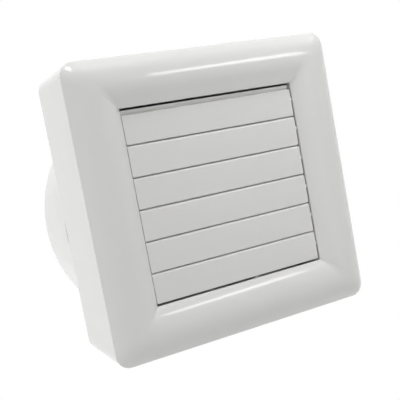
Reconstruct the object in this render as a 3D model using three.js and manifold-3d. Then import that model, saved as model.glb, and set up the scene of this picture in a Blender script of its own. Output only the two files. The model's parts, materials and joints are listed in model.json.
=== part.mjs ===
// Window exhaust fan with an automatic louvred shutter.
//
// Millimetres. X is to the right and Z is up for someone in the room, and Y runs
// back through the window pane. The origin is on the fan axis, where it meets the
// room side of the pane. The square housing stands on the room side, the round
// cowl on the weather side, and four long screws pull the two together.

import * as THREE from 'three';
import { mergeVertices } from 'three/addons/utils/BufferGeometryUtils.js';
import Module from 'manifold-3d';

const wasm = await Module();
wasm.setup();

// ---------------------------------------------------------------- clearances
const SEAT_GAP = 0.3;        // between pieces that seat on each other
const RUNNING_GAP = 0.3;     // radial, round pins and shafts that turn
const BLADE_TIP_GAP = 2;     // impeller to duct
const BOSS_GAP = 1.5;        // clamp bosses to duct
const HOLE_GAP = 0.5;        // clamp bosses to the edge of the pane's hole
const BORE_GAP = 1.5;        // duct to the cowl's flange
const LEAD_GAP = 1.4;        // radial, motor lead in its holes
const SHAFT_HOLE_GAP = 0.7;  // radial, shaft in the motor shield
const OVERCUT = 1;           // cutting tools run on past the faces they cut
const ROOT_LAP = 1;          // joined bodies run on into each other

// ------------------------------------------------------------ square housing
const FRONT_SIZE = 205;      // across the square front
const SIDE_DEPTH = 67.5;     // front ridge to pane
const RAIL_CROWN = 7.6;      // how far the rails stand ahead of the ridge
const CROWN_POWER = 0.9;     // 1 is a parabola, and less a fuller rail
const CORNER_RADIUS = 10;    // outer corners
const OPENING_CORNER = 0.5;  // inner corners, nearly sharp
const OPENING_WIDTH = 136.4;
const OPENING_HEIGHT = 137.2;
const OPENING_RISE = 1.2;    // centre of the opening above the housing's centre
const OPENING_LEAD = 0.8;    // edge of the opening ahead of the ridge
const REVEAL_DEPTH = 13.5;   // walls that run back from the opening's edge
const REVEAL_WALL = 2.2;
const SHELL_WALL = 2.5;
const SKIRT_SETBACK = 0.8;   // skirt's rear edge to the pane
const AXIS_DROP = 11.8;      // fan axis below the housing's centre

// ------------------------------------------------------------------- louvres
const LOUVRE_COUNT = 6;
const LOUVRE_TOP_GAP = 2.15;
const LOUVRE_SEAM = 0.4;     // gap between two faces
const LOUVRE_END_GAP = 1.4;
const LOUVRE_WALL = 2.2;
const LOUVRE_RECESS = 0.2;   // louvre faces behind the opening's edge
const LOUVRE_EDGE = 1.2;     // top edge and face corners
const LOUVRE_FOOT = 0.4;     // bottom edge
const LIP_HEIGHT = 2.85;     // lip that laps behind the louvre above
const LIP_EDGE = 0.3;
const LAP_WALL = 1.2;
const LAP_GAP = 0.5;
const REBATE_GAP = 1;        // lip's top to the end of the thinned lap
const PIVOT_DROP = 9;        // pivot below the top of the louvre's face
const PIVOT_RADIUS = 1.5;
const PIVOT_FLOOR = 0.5;     // pivot pins end inside the reveal's wall
const EAR_WALL = 0.7;        // round each pivot pin, at the louvre's end
const EAR_LENGTH = 2;
const OPEN_ANGLE = THREE.MathUtils.degToRad(75);
const CRANK_RADIUS = 18.5;   // pivot to link bar pin
const CRANK_ROOT = 1.5;      // where the crank leaves the louvre
const CRANK_WIDTH = 6;
const CRANK_WALL = 2;
const CRANK_END_GAP = 11;    // crank arm in from the louvre's end
const DRIVEN_LOUVRE = 3;     // the one that the actuator turns
const DRIVE_RADIUS = 9;      // pivot to drive pin
const NOTCH_GAP = 1;         // round the drive pin's swing
const NOTCH_CORNER = 1.5;
const LINK_GAP = 0.5;        // link bar to the crank arms, and to the pins' heads
const LINK_WALL = 2.4;
const LINK_WIDTH = 4.6;
const LINK_EYE_RADIUS = 3.4;
const SNAP_HEAD = 0.9;       // length of the heads on the crank pins

// ------------------------------------------------------------------ actuator
const ACTUATOR_RADIUS = 7;
const ACTUATOR_LENGTH = 33;
const ACTUATOR_EDGE = 1;
const NOSE_RADIUS = 4.3;     // actuator's nose in its bracket
const NOSE_LENGTH = 0.6;     // beyond the bracket's flange
const TAB_WIDTH = 5;         // electrical tabs on the actuator
const TAB_HEIGHT = 7;
const TAB_WALL = 0.8;
const TAB_SPREAD = 3;
const PLUNGER_RADIUS = 2;
const PLUNGER_LENGTH = 36;   // above the yoke
const PLUNGER_END_GAP = 1;   // plunger's end to the bottom of the actuator's bore
const YOKE_HALF = 5.5;
const YOKE_WALL = 3;
const YOKE_CORNER = 1.5;
const YOKE_PLAY = 0.5;       // drive pin to the yoke's slot, above and below
const YOKE_END_PLAY = 0.6;   // and at its ends
const COLLAR_WALL = 1.6;
const COLLAR_GAP = 0.9;      // collar to the actuator's flange
const SPRING_LENGTH = 16.5;  // shutter closed
const SPRING_RADIUS = 3.6;
const SPRING_WIRE = 0.8;
const SPRING_TURNS = 5;
const SPRING_REST = 4;       // yoke to the spring's seat
const BRACKET_WALL = 1.4;
const BRACKET_LENGTH = 38;   // above the actuator's flange
const BRACKET_CORNER = 4;
const BRACKET_BOSS = 3.2;    // radius of its two screw bosses
const BRACKET_REACH = 8.2;   // screws beside the plunger's axis
const BRACKET_RECESS = 0.7;  // back plate behind the louvres' faces
const BRACKET_SCREW_Z = [40, 72];

// ------------------------------------------- base plate, duct and clamp screws
const DUCT_WALL = 2;
const DUCT_FRONT = -41.5;
const DUCT_REAR = 6;
const BELLMOUTH = 6;         // flare at the duct's front
const BASE_REAR = -1.5;
const BASE_WALL = 2.5;
const RIM_HEIGHT = 10;
const ARM_WIDTH = 5;
const ARM_FRONT = 0.5;
const MOTOR_RING_INNER = 24;
const MOTOR_RING_REAR = 5;
const BOSS_RADIUS = 4.5;
const BOSS_DEPTH = 16;       // on the cowl
const BOSS_FLOOR = 1.5;      // closed end of the cowl's bosses
const BASE_BOSS_DEPTH = 8;   // on the base plate
const FRAME_SCREW_INSET = 29.7;
const SCREW_BLOCK = [10, 9, 12];   // width, depth and height of each screw block
const BLOCK_CORNER = 1.5;
const FRAME_SCREW_SEAT = 1.5;      // heads sunk into the skirt

// ------------------------------------------------------------ gaskets, cowl
const GASKET_WALL = 1.2;
const GASKET_EDGE = 0.9;     // inner gasket in from the base plate's lower edge
const GASKET_INSET = 2.5;    // outer gasket in from the cowl's wall
const GASKET_LAP = 1.5;      // gaskets out from the edge of the pane's hole
const INNER_GASKET_WIDTH = 4.5;
const PANE_GAP = 0.4;        // between the gaskets, with no pane in
const COWL_DEPTH = 71.5;
const COWL_WALL = 2.5;
const COWL_FRONT = 0.8;
const COWL_LIP = 8;          // inward lip that holds the guard
const COWL_EDGE = 2.5;       // rear edge radius
const DRAIN_X = [-22, 22];
const DRAIN_WIDTH = 12;
const DRAIN_LENGTH = 4;
const DRAIN_CORNER = 1.9;
const DRAIN_REAR_GAP = 19.75;      // drains ahead of the cowl's rear edge
const GUARD_DEPTH = 3;
const GUARD_BAR = 2.2;
const GUARD_RINGS = 6;
const GUARD_SPOKES = 6;
const GUARD_HUB = 10;
const GUARD_LAP = 2;         // guard's rim inside the cowl's lip

// ------------------------------------------------------------------ impeller
const BLADE_COUNT = 7;
const HUB_RADIUS = 21;
const HUB_WALL = 2;
const HUB_FRONT = -37;
const HUB_REAR = -10;
const HUB_EDGE = 7;          // outer radius of the hub's nose
const HUB_BOSS_RADIUS = 5.5;
const HUB_BOSS_SETBACK = 4;  // boss short of the hub's rear edge
const HUB_RIB_WALL = 1.4;
const HUB_RIB_SETBACK = 8;
const HUB_RIB_COUNT = 3;
const BLADE_WALL = 1.8;
const BLADE_EDGE = 0.35;     // edge thickness as a share of the wall
const BLADE_CAMBER = 0.08;
const BLADE_SETBACK = 1;     // blades behind the hub's middle
const ROOT_CHORD = 26;
const TIP_CHORD = 44;
const ROOT_PITCH = THREE.MathUtils.degToRad(44);
const TIP_PITCH = THREE.MathUtils.degToRad(24);
const BLADE_SWEEP = THREE.MathUtils.degToRad(20);
const SHAFT_RADIUS = 2.5;
const SHAFT_FRONT = -42;
const SHAFT_EDGE = 1;
const NUT_RADIUS = 4.6;
const NUT_HEIGHT = 4;

// --------------------------------------------------------------------- motor
const MOTOR_RADIUS = 32;
const MOTOR_CUP_DEPTH = 38;
const CUP_WALL = 1.5;
const CUP_EDGE = 8;
const SHIELD_WALL = 2;
const LUG_RADIUS = 4;
const LUG_WALL = 4;
const LUG_ANGLES = [30, 150, 270].map(THREE.MathUtils.degToRad);
const STACK_GAP = 1.5;       // stack to the cup's wall
const STACK_LENGTH = 20;
const STACK_LEAD = 1.5;      // stack ahead of the cup's middle
const STATOR_YOKE = 6;
const BORE_RADIUS = 14;
const AIR_GAP = 0.4;
const END_RING_WALL = 5;     // rotor's end rings
const END_RING_LENGTH = 1.5;
const END_RING_EDGE = 0.6;
const POLE_COUNT = 4;
const POLE_WIDTH = 10;
const SHOE_DEPTH = 2.6;
const SHOE_SPAN = THREE.MathUtils.degToRad(76);
const COIL_WALL = 2.6;
const COIL_CORNER = 2;
const COIL_INNER_CORNER = 0.4;
const BUSH_RADIUS = 6;
const BUSH_LENGTH = 4.6;
const BUSH_CROWN = 0.3;
const BUSH_EDGE = 1.5;
const BUSH_POCKET_WALL = 1.6;
const BUSH_SEAT = 1;         // floor in front of the front bush

// -------------------------------------------------------------------- screws
const M3_RADIUS = 1.5;
const M4_RADIUS = 2;
const PAN_HEAD = { radius: 2.8, height: 1.8 };
const FLAT_HEAD = { radius: 2.9, height: 1.4 };
const CLAMP_HEAD = { radius: 3.8, height: 2.6 };
const SMALL_HEAD = { radius: 2.6, height: 1.7 };
const TERMINAL_HEAD = { radius: 2.2, height: 1.6 };
const ACTUATOR_SCREW = 4;    // shank lengths
const FRAME_SCREW = 10;
const COVER_SCREW = 16;
const CABLE_SCREW = 10;
const TERMINAL_SCREW = 3.4;
const TERMINAL_SCREW_RADIUS = 1.2;
const SCREW_END_GAP = 1;     // screw tips to the bottoms of their holes

// -------------------------------------------------------------------- wiring
const CABLE_RADIUS = 3.5;
const LEAD_RADIUS = 1.6;
const LEAD_HOLE_GAP = 3.2;   // lead's hole to the duct
const TERMINAL_COUNT = 3;
const TERMINAL_X = 30;
const TERMINAL_DROP = 16;    // below the base plate's upper rim
const BLOCK_WIDTH = 30;
const BLOCK_HEIGHT = 14;
const BLOCK_DEPTH = 13;
const BLOCK_CHAMFER = [4, 3.5];
const WELL_RADIUS = 2.6;
const WELL_FLOOR = 3;
const WELL_SINK = 4.2;       // terminal screws below the block's front
const PORT_DEPTH = 7;        // wire ports behind the block's front
const PORT_GAP = 0.6;
const COVER_DEPTH = 22;
const COVER_WALL = 1.6;
const COVER_WIDTH = 64;
const COVER_OFFSET = -4;     // cover's middle beside the block's
const COVER_MARGIN = 5.5;    // cover above and below the block
const COVER_CORNER = 3;
const COVER_SCREW_REACH = 29;      // cover's screw to the block's middle
const COVER_POST = { radius: 3.5, height: 12 };
const CABLE_POST = { radius: 3, height: 10 };
const CABLE_BAR_REACH = 38;  // cable clamp to the block's middle
const CABLE_BAR_SPAN = 7;    // its screws above and below the cable
const CABLE_BAR_WIDTH = 6;
const CABLE_BAR_WALL = 2.5;
const CABLE_BAR_CORNER = 2.4;
const CABLE_AXIS = 9;        // cable in front of the base plate
const GATE_WALL = 4;         // half length of the gates' cuts
const GATE_CORNER = 0.5;
const LEAD_GATE_WIDTH = 8;
const GROMMET_Y = -24;
const GROMMET_FLANGE = 8;
const GROMMET_THROAT = 6.2;
const GROMMET_WALL = 2;      // flange thickness
const GROMMET_EDGE = 1.5;

// ------------------------------------------------------------ derived places
const HOUSING_Z = AXIS_DROP;
const RIDGE_Y = -SIDE_DEPTH;
const OPENING_Y = RIDGE_Y - OPENING_LEAD;
const REVEAL_REAR = OPENING_Y + REVEAL_DEPTH;
const REVEAL_OUTER = OPENING_WIDTH / 2 + REVEAL_WALL;
const SIDE_INNER = FRONT_SIZE / 2 - SHELL_WALL;
const RAIL_WIDTH = (FRONT_SIZE - OPENING_WIDTH) / 2;
const PITCH =
  (OPENING_HEIGHT - LOUVRE_TOP_GAP - LIP_HEIGHT - LOUVRE_SEAM) / LOUVRE_COUNT;
const LOUVRE_HALF = OPENING_WIDTH / 2 - LOUVRE_END_GAP;
const SKIRT_SHARE = 1 - SHELL_WALL / RAIL_WIDTH;
const SKIRT_CORNER = THREE.MathUtils.lerp(OPENING_CORNER, CORNER_RADIUS, SKIRT_SHARE);
const PIVOT_Y = OPENING_Y + LOUVRE_RECESS + LOUVRE_WALL;
const FIRST_PIVOT_Z =
  OPENING_RISE + OPENING_HEIGHT / 2 - LOUVRE_TOP_GAP - LIP_HEIGHT - PIVOT_DROP;
const CRANK_ANGLE = OPEN_ANGLE / 2;
const CRANK_Y = CRANK_RADIUS * Math.cos(CRANK_ANGLE);
const CRANK_Z = CRANK_RADIUS * Math.sin(CRANK_ANGLE);
const DRIVE_Y = DRIVE_RADIUS * Math.cos(CRANK_ANGLE);
const DRIVE_Z = DRIVE_RADIUS * Math.sin(CRANK_ANGLE);
const CRANK_X = LOUVRE_HALF - CRANK_END_GAP;
const LINK_X = CRANK_X + CRANK_WALL / 2 + LINK_GAP;

// The actuator and its screws stand midway between the reveal and the side wall.
const ACTUATOR_X =
  (REVEAL_OUTER + ACTUATOR_RADIUS + SIDE_INNER - BRACKET_REACH - BRACKET_BOSS) / 2;
const BRACKET_SCREW_X = ACTUATOR_X + BRACKET_REACH;
const BRACKET_FRONT = OPENING_Y + LOUVRE_RECESS + BRACKET_RECESS;
const PLUNGER_Y = (DRIVE_Y + DRIVE_RADIUS) / 2;
const SPRING_SEAT = YOKE_HALF + SPRING_REST;
const COLLAR_Z = SPRING_SEAT + SPRING_LENGTH + SEAT_GAP;
const ACTUATOR_FLANGE_Z = COLLAR_Z + COLLAR_WALL + COLLAR_GAP;

// The largest duct that leaves room for the clamp screws and the gaskets.
const BASE_FRONT = BASE_REAR - BASE_WALL;
const BASE_SIZE = FRONT_SIZE - 2 * (SHELL_WALL + SEAT_GAP);
const BASE_BOTTOM = HOUSING_Z - BASE_SIZE / 2;
const BASE_TOP = HOUSING_Z + BASE_SIZE / 2 - BASE_WALL;
const BASE_CORNER = SKIRT_CORNER + SEAT_GAP;
const INNER_GASKET_OUTER = BASE_SIZE / 2 - AXIS_DROP - GASKET_EDGE;
const GASKET_INNER = INNER_GASKET_OUTER - INNER_GASKET_WIDTH;
const PANE_HOLE_RADIUS = GASKET_INNER - GASKET_LAP;
const CLAMP_CIRCLE = PANE_HOLE_RADIUS - HOLE_GAP - BOSS_RADIUS;
const CLAMP_OFFSET = CLAMP_CIRCLE * Math.SQRT1_2;
const DUCT_OUTER = CLAMP_CIRCLE - BOSS_RADIUS - BOSS_GAP;
const DUCT_RADIUS = DUCT_OUTER - DUCT_WALL;
const TIP_RADIUS = DUCT_RADIUS - BLADE_TIP_GAP;
const FRAME_SCREW_X = BASE_SIZE / 2 - FRAME_SCREW_INSET;
const FRAME_SCREW_Y = BASE_FRONT - RIM_HEIGHT / 2;

// The cowl is flush with the housing's sides.
const COWL_RADIUS = FRONT_SIZE / 2;
const COWL_INSIDE = COWL_RADIUS - COWL_WALL;
const COWL_BORE = DUCT_OUTER + BORE_GAP;
const OUTER_GASKET_OUTER = COWL_INSIDE - GASKET_INSET;
const FLANGE_FRONT = PANE_GAP + GASKET_WALL + SEAT_GAP;
const FLANGE_REAR = FLANGE_FRONT + COWL_WALL;
const GUARD_REAR = COWL_DEPTH - COWL_WALL - SEAT_GAP;

const LUG_CIRCLE = MOTOR_RADIUS + LUG_RADIUS;
const MOTOR_RING_OUTER = LUG_CIRCLE + LUG_RADIUS + 1;
const SHIELD_FRONT = MOTOR_RING_REAR + SEAT_GAP;
const CUP_FRONT = SHIELD_FRONT + SHIELD_WALL + SEAT_GAP;
const CUP_REAR = CUP_FRONT + MOTOR_CUP_DEPTH;
const CUP_INSIDE = MOTOR_RADIUS - CUP_WALL;
const STACK_RADIUS = CUP_INSIDE - STACK_GAP;
const YOKE_INNER = STACK_RADIUS - STATOR_YOKE;
const STACK_MID = CUP_FRONT + (MOTOR_CUP_DEPTH - CUP_WALL) / 2 - STACK_LEAD;
const BUSH_POCKET = BUSH_RADIUS + SEAT_GAP;

const TERMINAL_Z = BASE_TOP - TERMINAL_DROP;
const LEAD_HOLE_Z = DUCT_OUTER + LEAD_RADIUS + LEAD_HOLE_GAP;
const BLOCK_REAR = BASE_FRONT - SEAT_GAP;
const BLOCK_FRONT = BLOCK_REAR - BLOCK_DEPTH;
const PORT_Y = BLOCK_FRONT + PORT_DEPTH;
const CELL_WIDTH = BLOCK_WIDTH / TERMINAL_COUNT;
const LEAD_X = TERMINAL_X - BLOCK_WIDTH / 2 + CELL_WIDTH / 2;
const COVER_FRONT = BASE_FRONT - COVER_DEPTH;
const COVER_SCREW_X = TERMINAL_X - COVER_SCREW_REACH;
const CABLE_BAR_X = TERMINAL_X + CABLE_BAR_REACH;
const CABLE_BAR_SEAT = BASE_FRONT - CABLE_POST.height - SEAT_GAP;
const GROMMET_Z = TERMINAL_Z - HOUSING_Z;

// ----------------------------------------------------------------- materials
function plastic(color, roughness) {
  return new THREE.MeshStandardMaterial({ color, roughness, metalness: 0 });
}

function metal(color, roughness) {
  return new THREE.MeshStandardMaterial({ color, roughness, metalness: 1 });
}

const WHITE_GLOSS = plastic(0xf1f1ef, 0.22);
const WHITE_SATIN = plastic(0xeaeae7, 0.4);
const GREY_PLASTIC = plastic(0x8f9296, 0.5);
const BLACK_PLASTIC = plastic(0x232426, 0.5);
const SOFT_RUBBER = plastic(0x2b2b2b, 0.9);
const COPPER_WIRE = metal(0xa85a32, 0.35);
const STEEL = metal(0xb9bcc0, 0.3);
const STACK_STEEL = metal(0x6f7276, 0.55);
const BRONZE = metal(0xb0824a, 0.4);

// ------------------------------------------------------------ solid tool box
function signedVolume(positions, index) {
  const a = new THREE.Vector3();
  const b = new THREE.Vector3();
  const c = new THREE.Vector3();
  let volume = 0;
  for (let i = 0; i < index.length; i += 3) {
    a.fromArray(positions, 3 * index[i]);
    b.fromArray(positions, 3 * index[i + 1]);
    c.fromArray(positions, 3 * index[i + 2]);
    volume += a.dot(b.cross(c)) / 6;
  }
  return volume;
}

// One shared vertex per corner, no empty triangles, faces pointing out.
function weld(geometry) {
  const bare = geometry.clone();
  bare.deleteAttribute('normal');
  bare.deleteAttribute('uv');
  const merged = mergeVertices(bare, 1e-4);
  const corners = merged.index.array;
  const index = [];
  for (let i = 0; i < corners.length; i += 3) {
    const [a, b, c] = corners.slice(i, i + 3);
    if (a !== b && b !== c && c !== a) index.push(a, b, c);
  }
  if (signedVolume(merged.attributes.position.array, index) < 0) index.reverse();
  merged.setIndex(index);
  return merged;
}

function toSolid(geometry) {
  const { attributes, index } = weld(geometry);
  const mesh = new wasm.Mesh({
    numProp: 3,
    vertProperties: Float32Array.from(attributes.position.array),
    triVerts: Uint32Array.from(index.array),
  });
  return new wasm.Manifold(mesh);
}

function toGeometry(solid) {
  const { vertProperties, triVerts } = solid.getMesh();
  const geometry = new THREE.BufferGeometry();
  const positions = Float32Array.from(vertProperties);
  geometry.setAttribute('position', new THREE.BufferAttribute(positions, 3));
  geometry.setIndex(Array.from(triVerts));
  return geometry;
}

function join(first, ...others) {
  return toGeometry(others.map(toSolid).reduce((sum, s) => sum.add(s), toSolid(first)));
}

function cut(first, ...tools) {
  return toGeometry(tools.map(toSolid).reduce((rest, s) => rest.subtract(s), toSolid(first)));
}

function common(first, second) {
  return toGeometry(toSolid(first).intersect(toSolid(second)));
}

// ---------------------------------------------------------------- form tools
// A shape drawn in X and Z, run from y0 to y1.
function alongY(shape, y0, y1, curveSegments = 4) {
  const options = { depth: y1 - y0, bevelEnabled: false, curveSegments };
  return new THREE.ExtrudeGeometry(shape, options).rotateX(Math.PI / 2).translate(0, y1, 0);
}

// A shape drawn in Y and Z, run from x0 to x1.
function alongX(shape, x0, x1, curveSegments = 4) {
  const options = { depth: x1 - x0, bevelEnabled: false, curveSegments };
  const turn = new THREE.Matrix4().makeBasis(
    new THREE.Vector3(0, 1, 0),
    new THREE.Vector3(0, 0, 1),
    new THREE.Vector3(1, 0, 0),
  );
  return new THREE.ExtrudeGeometry(shape, options).applyMatrix4(turn).translate(x0, 0, 0);
}

// A shape drawn in X and Y, run from z0 to z1.
function alongZ(shape, z0, z1, curveSegments = 4) {
  const options = { depth: z1 - z0, bevelEnabled: false, curveSegments };
  return new THREE.ExtrudeGeometry(shape, options).translate(0, 0, z0);
}

function circle(u, v, radius) {
  const shape = new THREE.Shape();
  shape.absarc(u, v, radius, 0, 2 * Math.PI);
  return shape;
}

function polygon(points) {
  return new THREE.Shape(points.map(([u, v]) => new THREE.Vector2(u, v)));
}

function roundedBox(u, v, width, height, radius) {
  const right = width / 2 - radius;
  const top = height / 2 - radius;
  const shape = new THREE.Shape();
  shape.absarc(u + right, v + top, radius, 0, Math.PI / 2);
  shape.absarc(u - right, v + top, radius, Math.PI / 2, Math.PI);
  shape.absarc(u - right, v - top, radius, Math.PI, 1.5 * Math.PI);
  shape.absarc(u + right, v - top, radius, 1.5 * Math.PI, 2 * Math.PI);
  return shape;
}

// A straight slot or bar with round ends, from one centre to the other.
function stadium(u0, v0, u1, v1, radius) {
  const heading = Math.atan2(v1 - v0, u1 - u0);
  const shape = new THREE.Shape();
  shape.absarc(u1, v1, radius, heading - Math.PI / 2, heading + Math.PI / 2);
  shape.absarc(u0, v0, radius, heading + Math.PI / 2, heading + 1.5 * Math.PI);
  return shape;
}

// A closed profile of [radius, y] pairs, turned round the Y axis.
function turned(profile, segments = 32) {
  const points = profile.map(([radius, y]) => new THREE.Vector2(radius, y));
  const closed = points[0].x > 0 || points.at(-1).x > 0;
  if (closed) points.push(points[0].clone());
  return weld(new THREE.LatheGeometry(points, segments));
}

function turnedX(profile, segments) {
  return turned(profile, segments).rotateZ(-Math.PI / 2);
}

function turnedZ(profile, segments) {
  return turned(profile, segments).rotateX(Math.PI / 2);
}

function arc(u, v, radius, from, to, steps) {
  const points = [];
  for (let i = 0; i <= steps; i++) {
    const angle = THREE.MathUtils.lerp(from, to, i / steps);
    points.push([u + radius * Math.cos(angle), v + radius * Math.sin(angle)]);
  }
  return points;
}

// Closed skin over rings of points; the last ring joins the first.
function loftLoop(rings) {
  const count = rings[0].length;
  const positions = rings.flat(2);
  const index = [];
  rings.forEach((_, r) => {
    const here = r * count;
    const next = ((r + 1) % rings.length) * count;
    for (let i = 0; i < count; i++) {
      const j = (i + 1) % count;
      index.push(here + i, here + j, next + j, here + i, next + j, next + i);
    }
  });
  const geometry = new THREE.BufferGeometry();
  geometry.setAttribute('position', new THREE.Float32BufferAttribute(positions, 3));
  geometry.setIndex(index);
  return weld(geometry);
}

// Closed skin over rings of points with flat ends.
function loftTube(rings) {
  const count = rings[0].length;
  const index = [];
  for (let r = 0; r + 1 < rings.length; r++) {
    for (let i = 0; i < count; i++) {
      const j = (i + 1) % count;
      const here = r * count;
      const next = here + count;
      index.push(here + i, here + j, next + j, here + i, next + j, next + i);
    }
  }
  const last = (rings.length - 1) * count;
  for (let i = 0; i < count / 2 - 1; i++) {
    const far = count - 1 - i;
    index.push(i, far, far - 1, i, far - 1, i + 1);
    index.push(last + i, last + far - 1, last + far, last + i, last + i + 1, last + far - 1);
  }
  const geometry = new THREE.BufferGeometry();
  geometry.setAttribute('position', new THREE.Float32BufferAttribute(rings.flat(2), 3));
  geometry.setIndex(index);
  return weld(geometry);
}

function place(parent, name, geometry, material) {
  const mesh = new THREE.Mesh(geometry, material);
  mesh.name = name;
  parent.add(mesh);
  return mesh;
}

// --------------------------------------------------------------- front frame
// One ring round the opening. share is 0 at the opening and 1 at the outside,
// so the sharp inner corners fade into the round outer ones.
function frameRing(share, y) {
  const mix = THREE.MathUtils.lerp;
  const width = mix(OPENING_WIDTH, FRONT_SIZE, share);
  const height = mix(OPENING_HEIGHT, FRONT_SIZE, share);
  const radius = mix(OPENING_CORNER, CORNER_RADIUS, share);
  const rise = mix(OPENING_RISE, 0, share);
  const outline = roundedBox(0, rise, width, height, radius).getPoints(2);
  return outline.map(({ x, y: z }) => [x, y, z]);
}

function railY(share, setback) {
  const hump = Math.max(0, 1 - (2 * share - 1) ** 2);
  return RIDGE_Y - OPENING_LEAD * (1 - share) - RAIL_CROWN * hump ** CROWN_POWER + setback;
}

function frontFrameShell() {
  const railSteps = 8;
  const insideSteps = 4;
  const reveal = REVEAL_WALL / RAIL_WIDTH;
  const section = [];
  for (let i = 0; i <= railSteps; i++) {
    const share = 1 - i / railSteps;
    section.push([share, railY(share, 0)]);
  }
  section.push([0, REVEAL_REAR], [reveal, REVEAL_REAR]);
  for (let i = 0; i <= insideSteps; i++) {
    const share = THREE.MathUtils.lerp(reveal, SKIRT_SHARE, i / insideSteps);
    section.push([share, railY(share, SHELL_WALL)]);
  }
  section.push([SKIRT_SHARE, -SKIRT_SETBACK], [1, -SKIRT_SETBACK]);
  return loftLoop(section.map(([share, y]) => frameRing(share, y)));
}

function pivotZ(number) {
  return FIRST_PIVOT_Z - (number - 1) * PITCH;
}

function bearingHoles() {
  const start = OPENING_WIDTH / 2 - OVERCUT;
  const end = REVEAL_OUTER + OVERCUT;
  const holes = [];
  for (let number = 1; number <= LOUVRE_COUNT; number++) {
    const hole = circle(PIVOT_Y, pivotZ(number), PIVOT_RADIUS + RUNNING_GAP);
    holes.push(alongX(hole, start, end), alongX(hole, -end, -start));
  }
  return holes;
}

// Room for the drive pin's swing, open to the rear of the right-hand reveal.
function drivePinNotch() {
  const half = DRIVE_Z + PIVOT_RADIUS + NOTCH_GAP;
  const front = PIVOT_Y + DRIVE_Y - PIVOT_RADIUS - NOTCH_GAP;
  const rear = REVEAL_REAR + 2 * NOTCH_CORNER + OVERCUT;
  const notch = roundedBox((front + rear) / 2, pivotZ(DRIVEN_LOUVRE),
    rear - front, 2 * half, NOTCH_CORNER);
  return alongX(notch, OPENING_WIDTH / 2 - OVERCUT, REVEAL_OUTER + OVERCUT, 2);
}

function bracketBosses() {
  const share = (BRACKET_SCREW_X - OPENING_WIDTH / 2) / RAIL_WIDTH;
  const root = railY(share, SHELL_WALL) - SHELL_WALL / 2;
  return BRACKET_SCREW_Z.map((z) => {
    const boss = circle(BRACKET_SCREW_X, z, BRACKET_BOSS);
    boss.holes.push(circle(BRACKET_SCREW_X, z, M3_RADIUS + RUNNING_GAP));
    return alongY(boss, root, BRACKET_FRONT - SEAT_GAP);
  });
}

function frameScrewHoles() {
  const bottom = -FRONT_SIZE / 2;
  const shank = M3_RADIUS + RUNNING_GAP;
  const head = FLAT_HEAD.radius + RUNNING_GAP;
  return [-FRAME_SCREW_X, FRAME_SCREW_X].flatMap((x) => [
    alongZ(circle(x, FRAME_SCREW_Y, shank), bottom - OVERCUT, bottom + SHELL_WALL + OVERCUT),
    alongZ(circle(x, FRAME_SCREW_Y, head), bottom - OVERCUT, bottom + FRAME_SCREW_SEAT),
  ]);
}

function frontFrame() {
  const inlet = circle(GROMMET_Y, GROMMET_Z, GROMMET_THROAT + RUNNING_GAP);
  const shell = join(frontFrameShell(), ...bracketBosses());
  return cut(shell, ...bearingHoles(), drivePinNotch(), ...frameScrewHoles(),
    alongX(inlet, SIDE_INNER - OVERCUT, FRONT_SIZE / 2 + OVERCUT, 10));
}

// ------------------------------------------------------------------- louvres
// Section in Y and Z about the pivot: a flat face with a round top edge, a lip
// that laps behind the louvre above and a thinned bottom edge.
function louvreSection() {
  const front = -LOUVRE_WALL;
  const lipTop = PIVOT_DROP + LIP_HEIGHT;
  const lipFront = front + LAP_WALL + LAP_GAP;
  const lipRear = lipFront + LAP_WALL;
  const bottom = PIVOT_DROP - PITCH + LOUVRE_SEAM;
  const rebate = bottom + LIP_HEIGHT + REBATE_GAP;
  const shoulder = arc(front + LOUVRE_EDGE, PIVOT_DROP - LOUVRE_EDGE, LOUVRE_EDGE,
    Math.PI, Math.PI / 2, 2);
  return polygon([
    [front + LOUVRE_FOOT, bottom],
    [front, bottom + LOUVRE_FOOT],
    ...shoulder,
    [lipFront, PIVOT_DROP],
    [lipFront, lipTop - LIP_EDGE],
    [lipFront + LIP_EDGE, lipTop],
    [lipRear - LIP_EDGE, lipTop],
    [lipRear, lipTop - LIP_EDGE],
    [lipRear, PIVOT_DROP - LAP_WALL],
    [0, PIVOT_DROP - 2 * LAP_WALL],
    [0, rebate + LAP_WALL],
    [front + LAP_WALL, rebate],
    [front + LAP_WALL, bottom],
  ]);
}

function crankArm() {
  const root = { y: CRANK_ROOT, z: CRANK_ROOT * Math.tan(CRANK_ANGLE) };
  const arm = stadium(root.y, root.z, CRANK_Y, CRANK_Z, CRANK_WIDTH / 2);
  return alongX(arm, CRANK_X - CRANK_WALL / 2, CRANK_X + CRANK_WALL / 2, 3);
}

// Pin and snap head that carry the link bar.
function crankPin() {
  const pinEnd = LINK_X + LINK_WALL + LINK_GAP;
  const stem = circle(CRANK_Y, CRANK_Z, PIVOT_RADIUS);
  const head = circle(CRANK_Y, CRANK_Z, PIVOT_RADIUS + LINK_GAP);
  return [alongX(stem, CRANK_X, pinEnd + SNAP_HEAD / 2), alongX(head, pinEnd, pinEnd + SNAP_HEAD)];
}

// Pivot pin and the ear that it grows from, at the right or left end.
function louvreEnd(side) {
  const ear = circle(0, 0, PIVOT_RADIUS + EAR_WALL);
  const pin = circle(0, 0, PIVOT_RADIUS);
  const tip = REVEAL_OUTER - PIVOT_FLOOR;
  const root = LOUVRE_HALF - EAR_LENGTH;
  if (side > 0) return [alongX(ear, root, LOUVRE_HALF), alongX(pin, root, tip)];
  return [alongX(ear, -LOUVRE_HALF, -root), alongX(pin, -tip, -root)];
}

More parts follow.
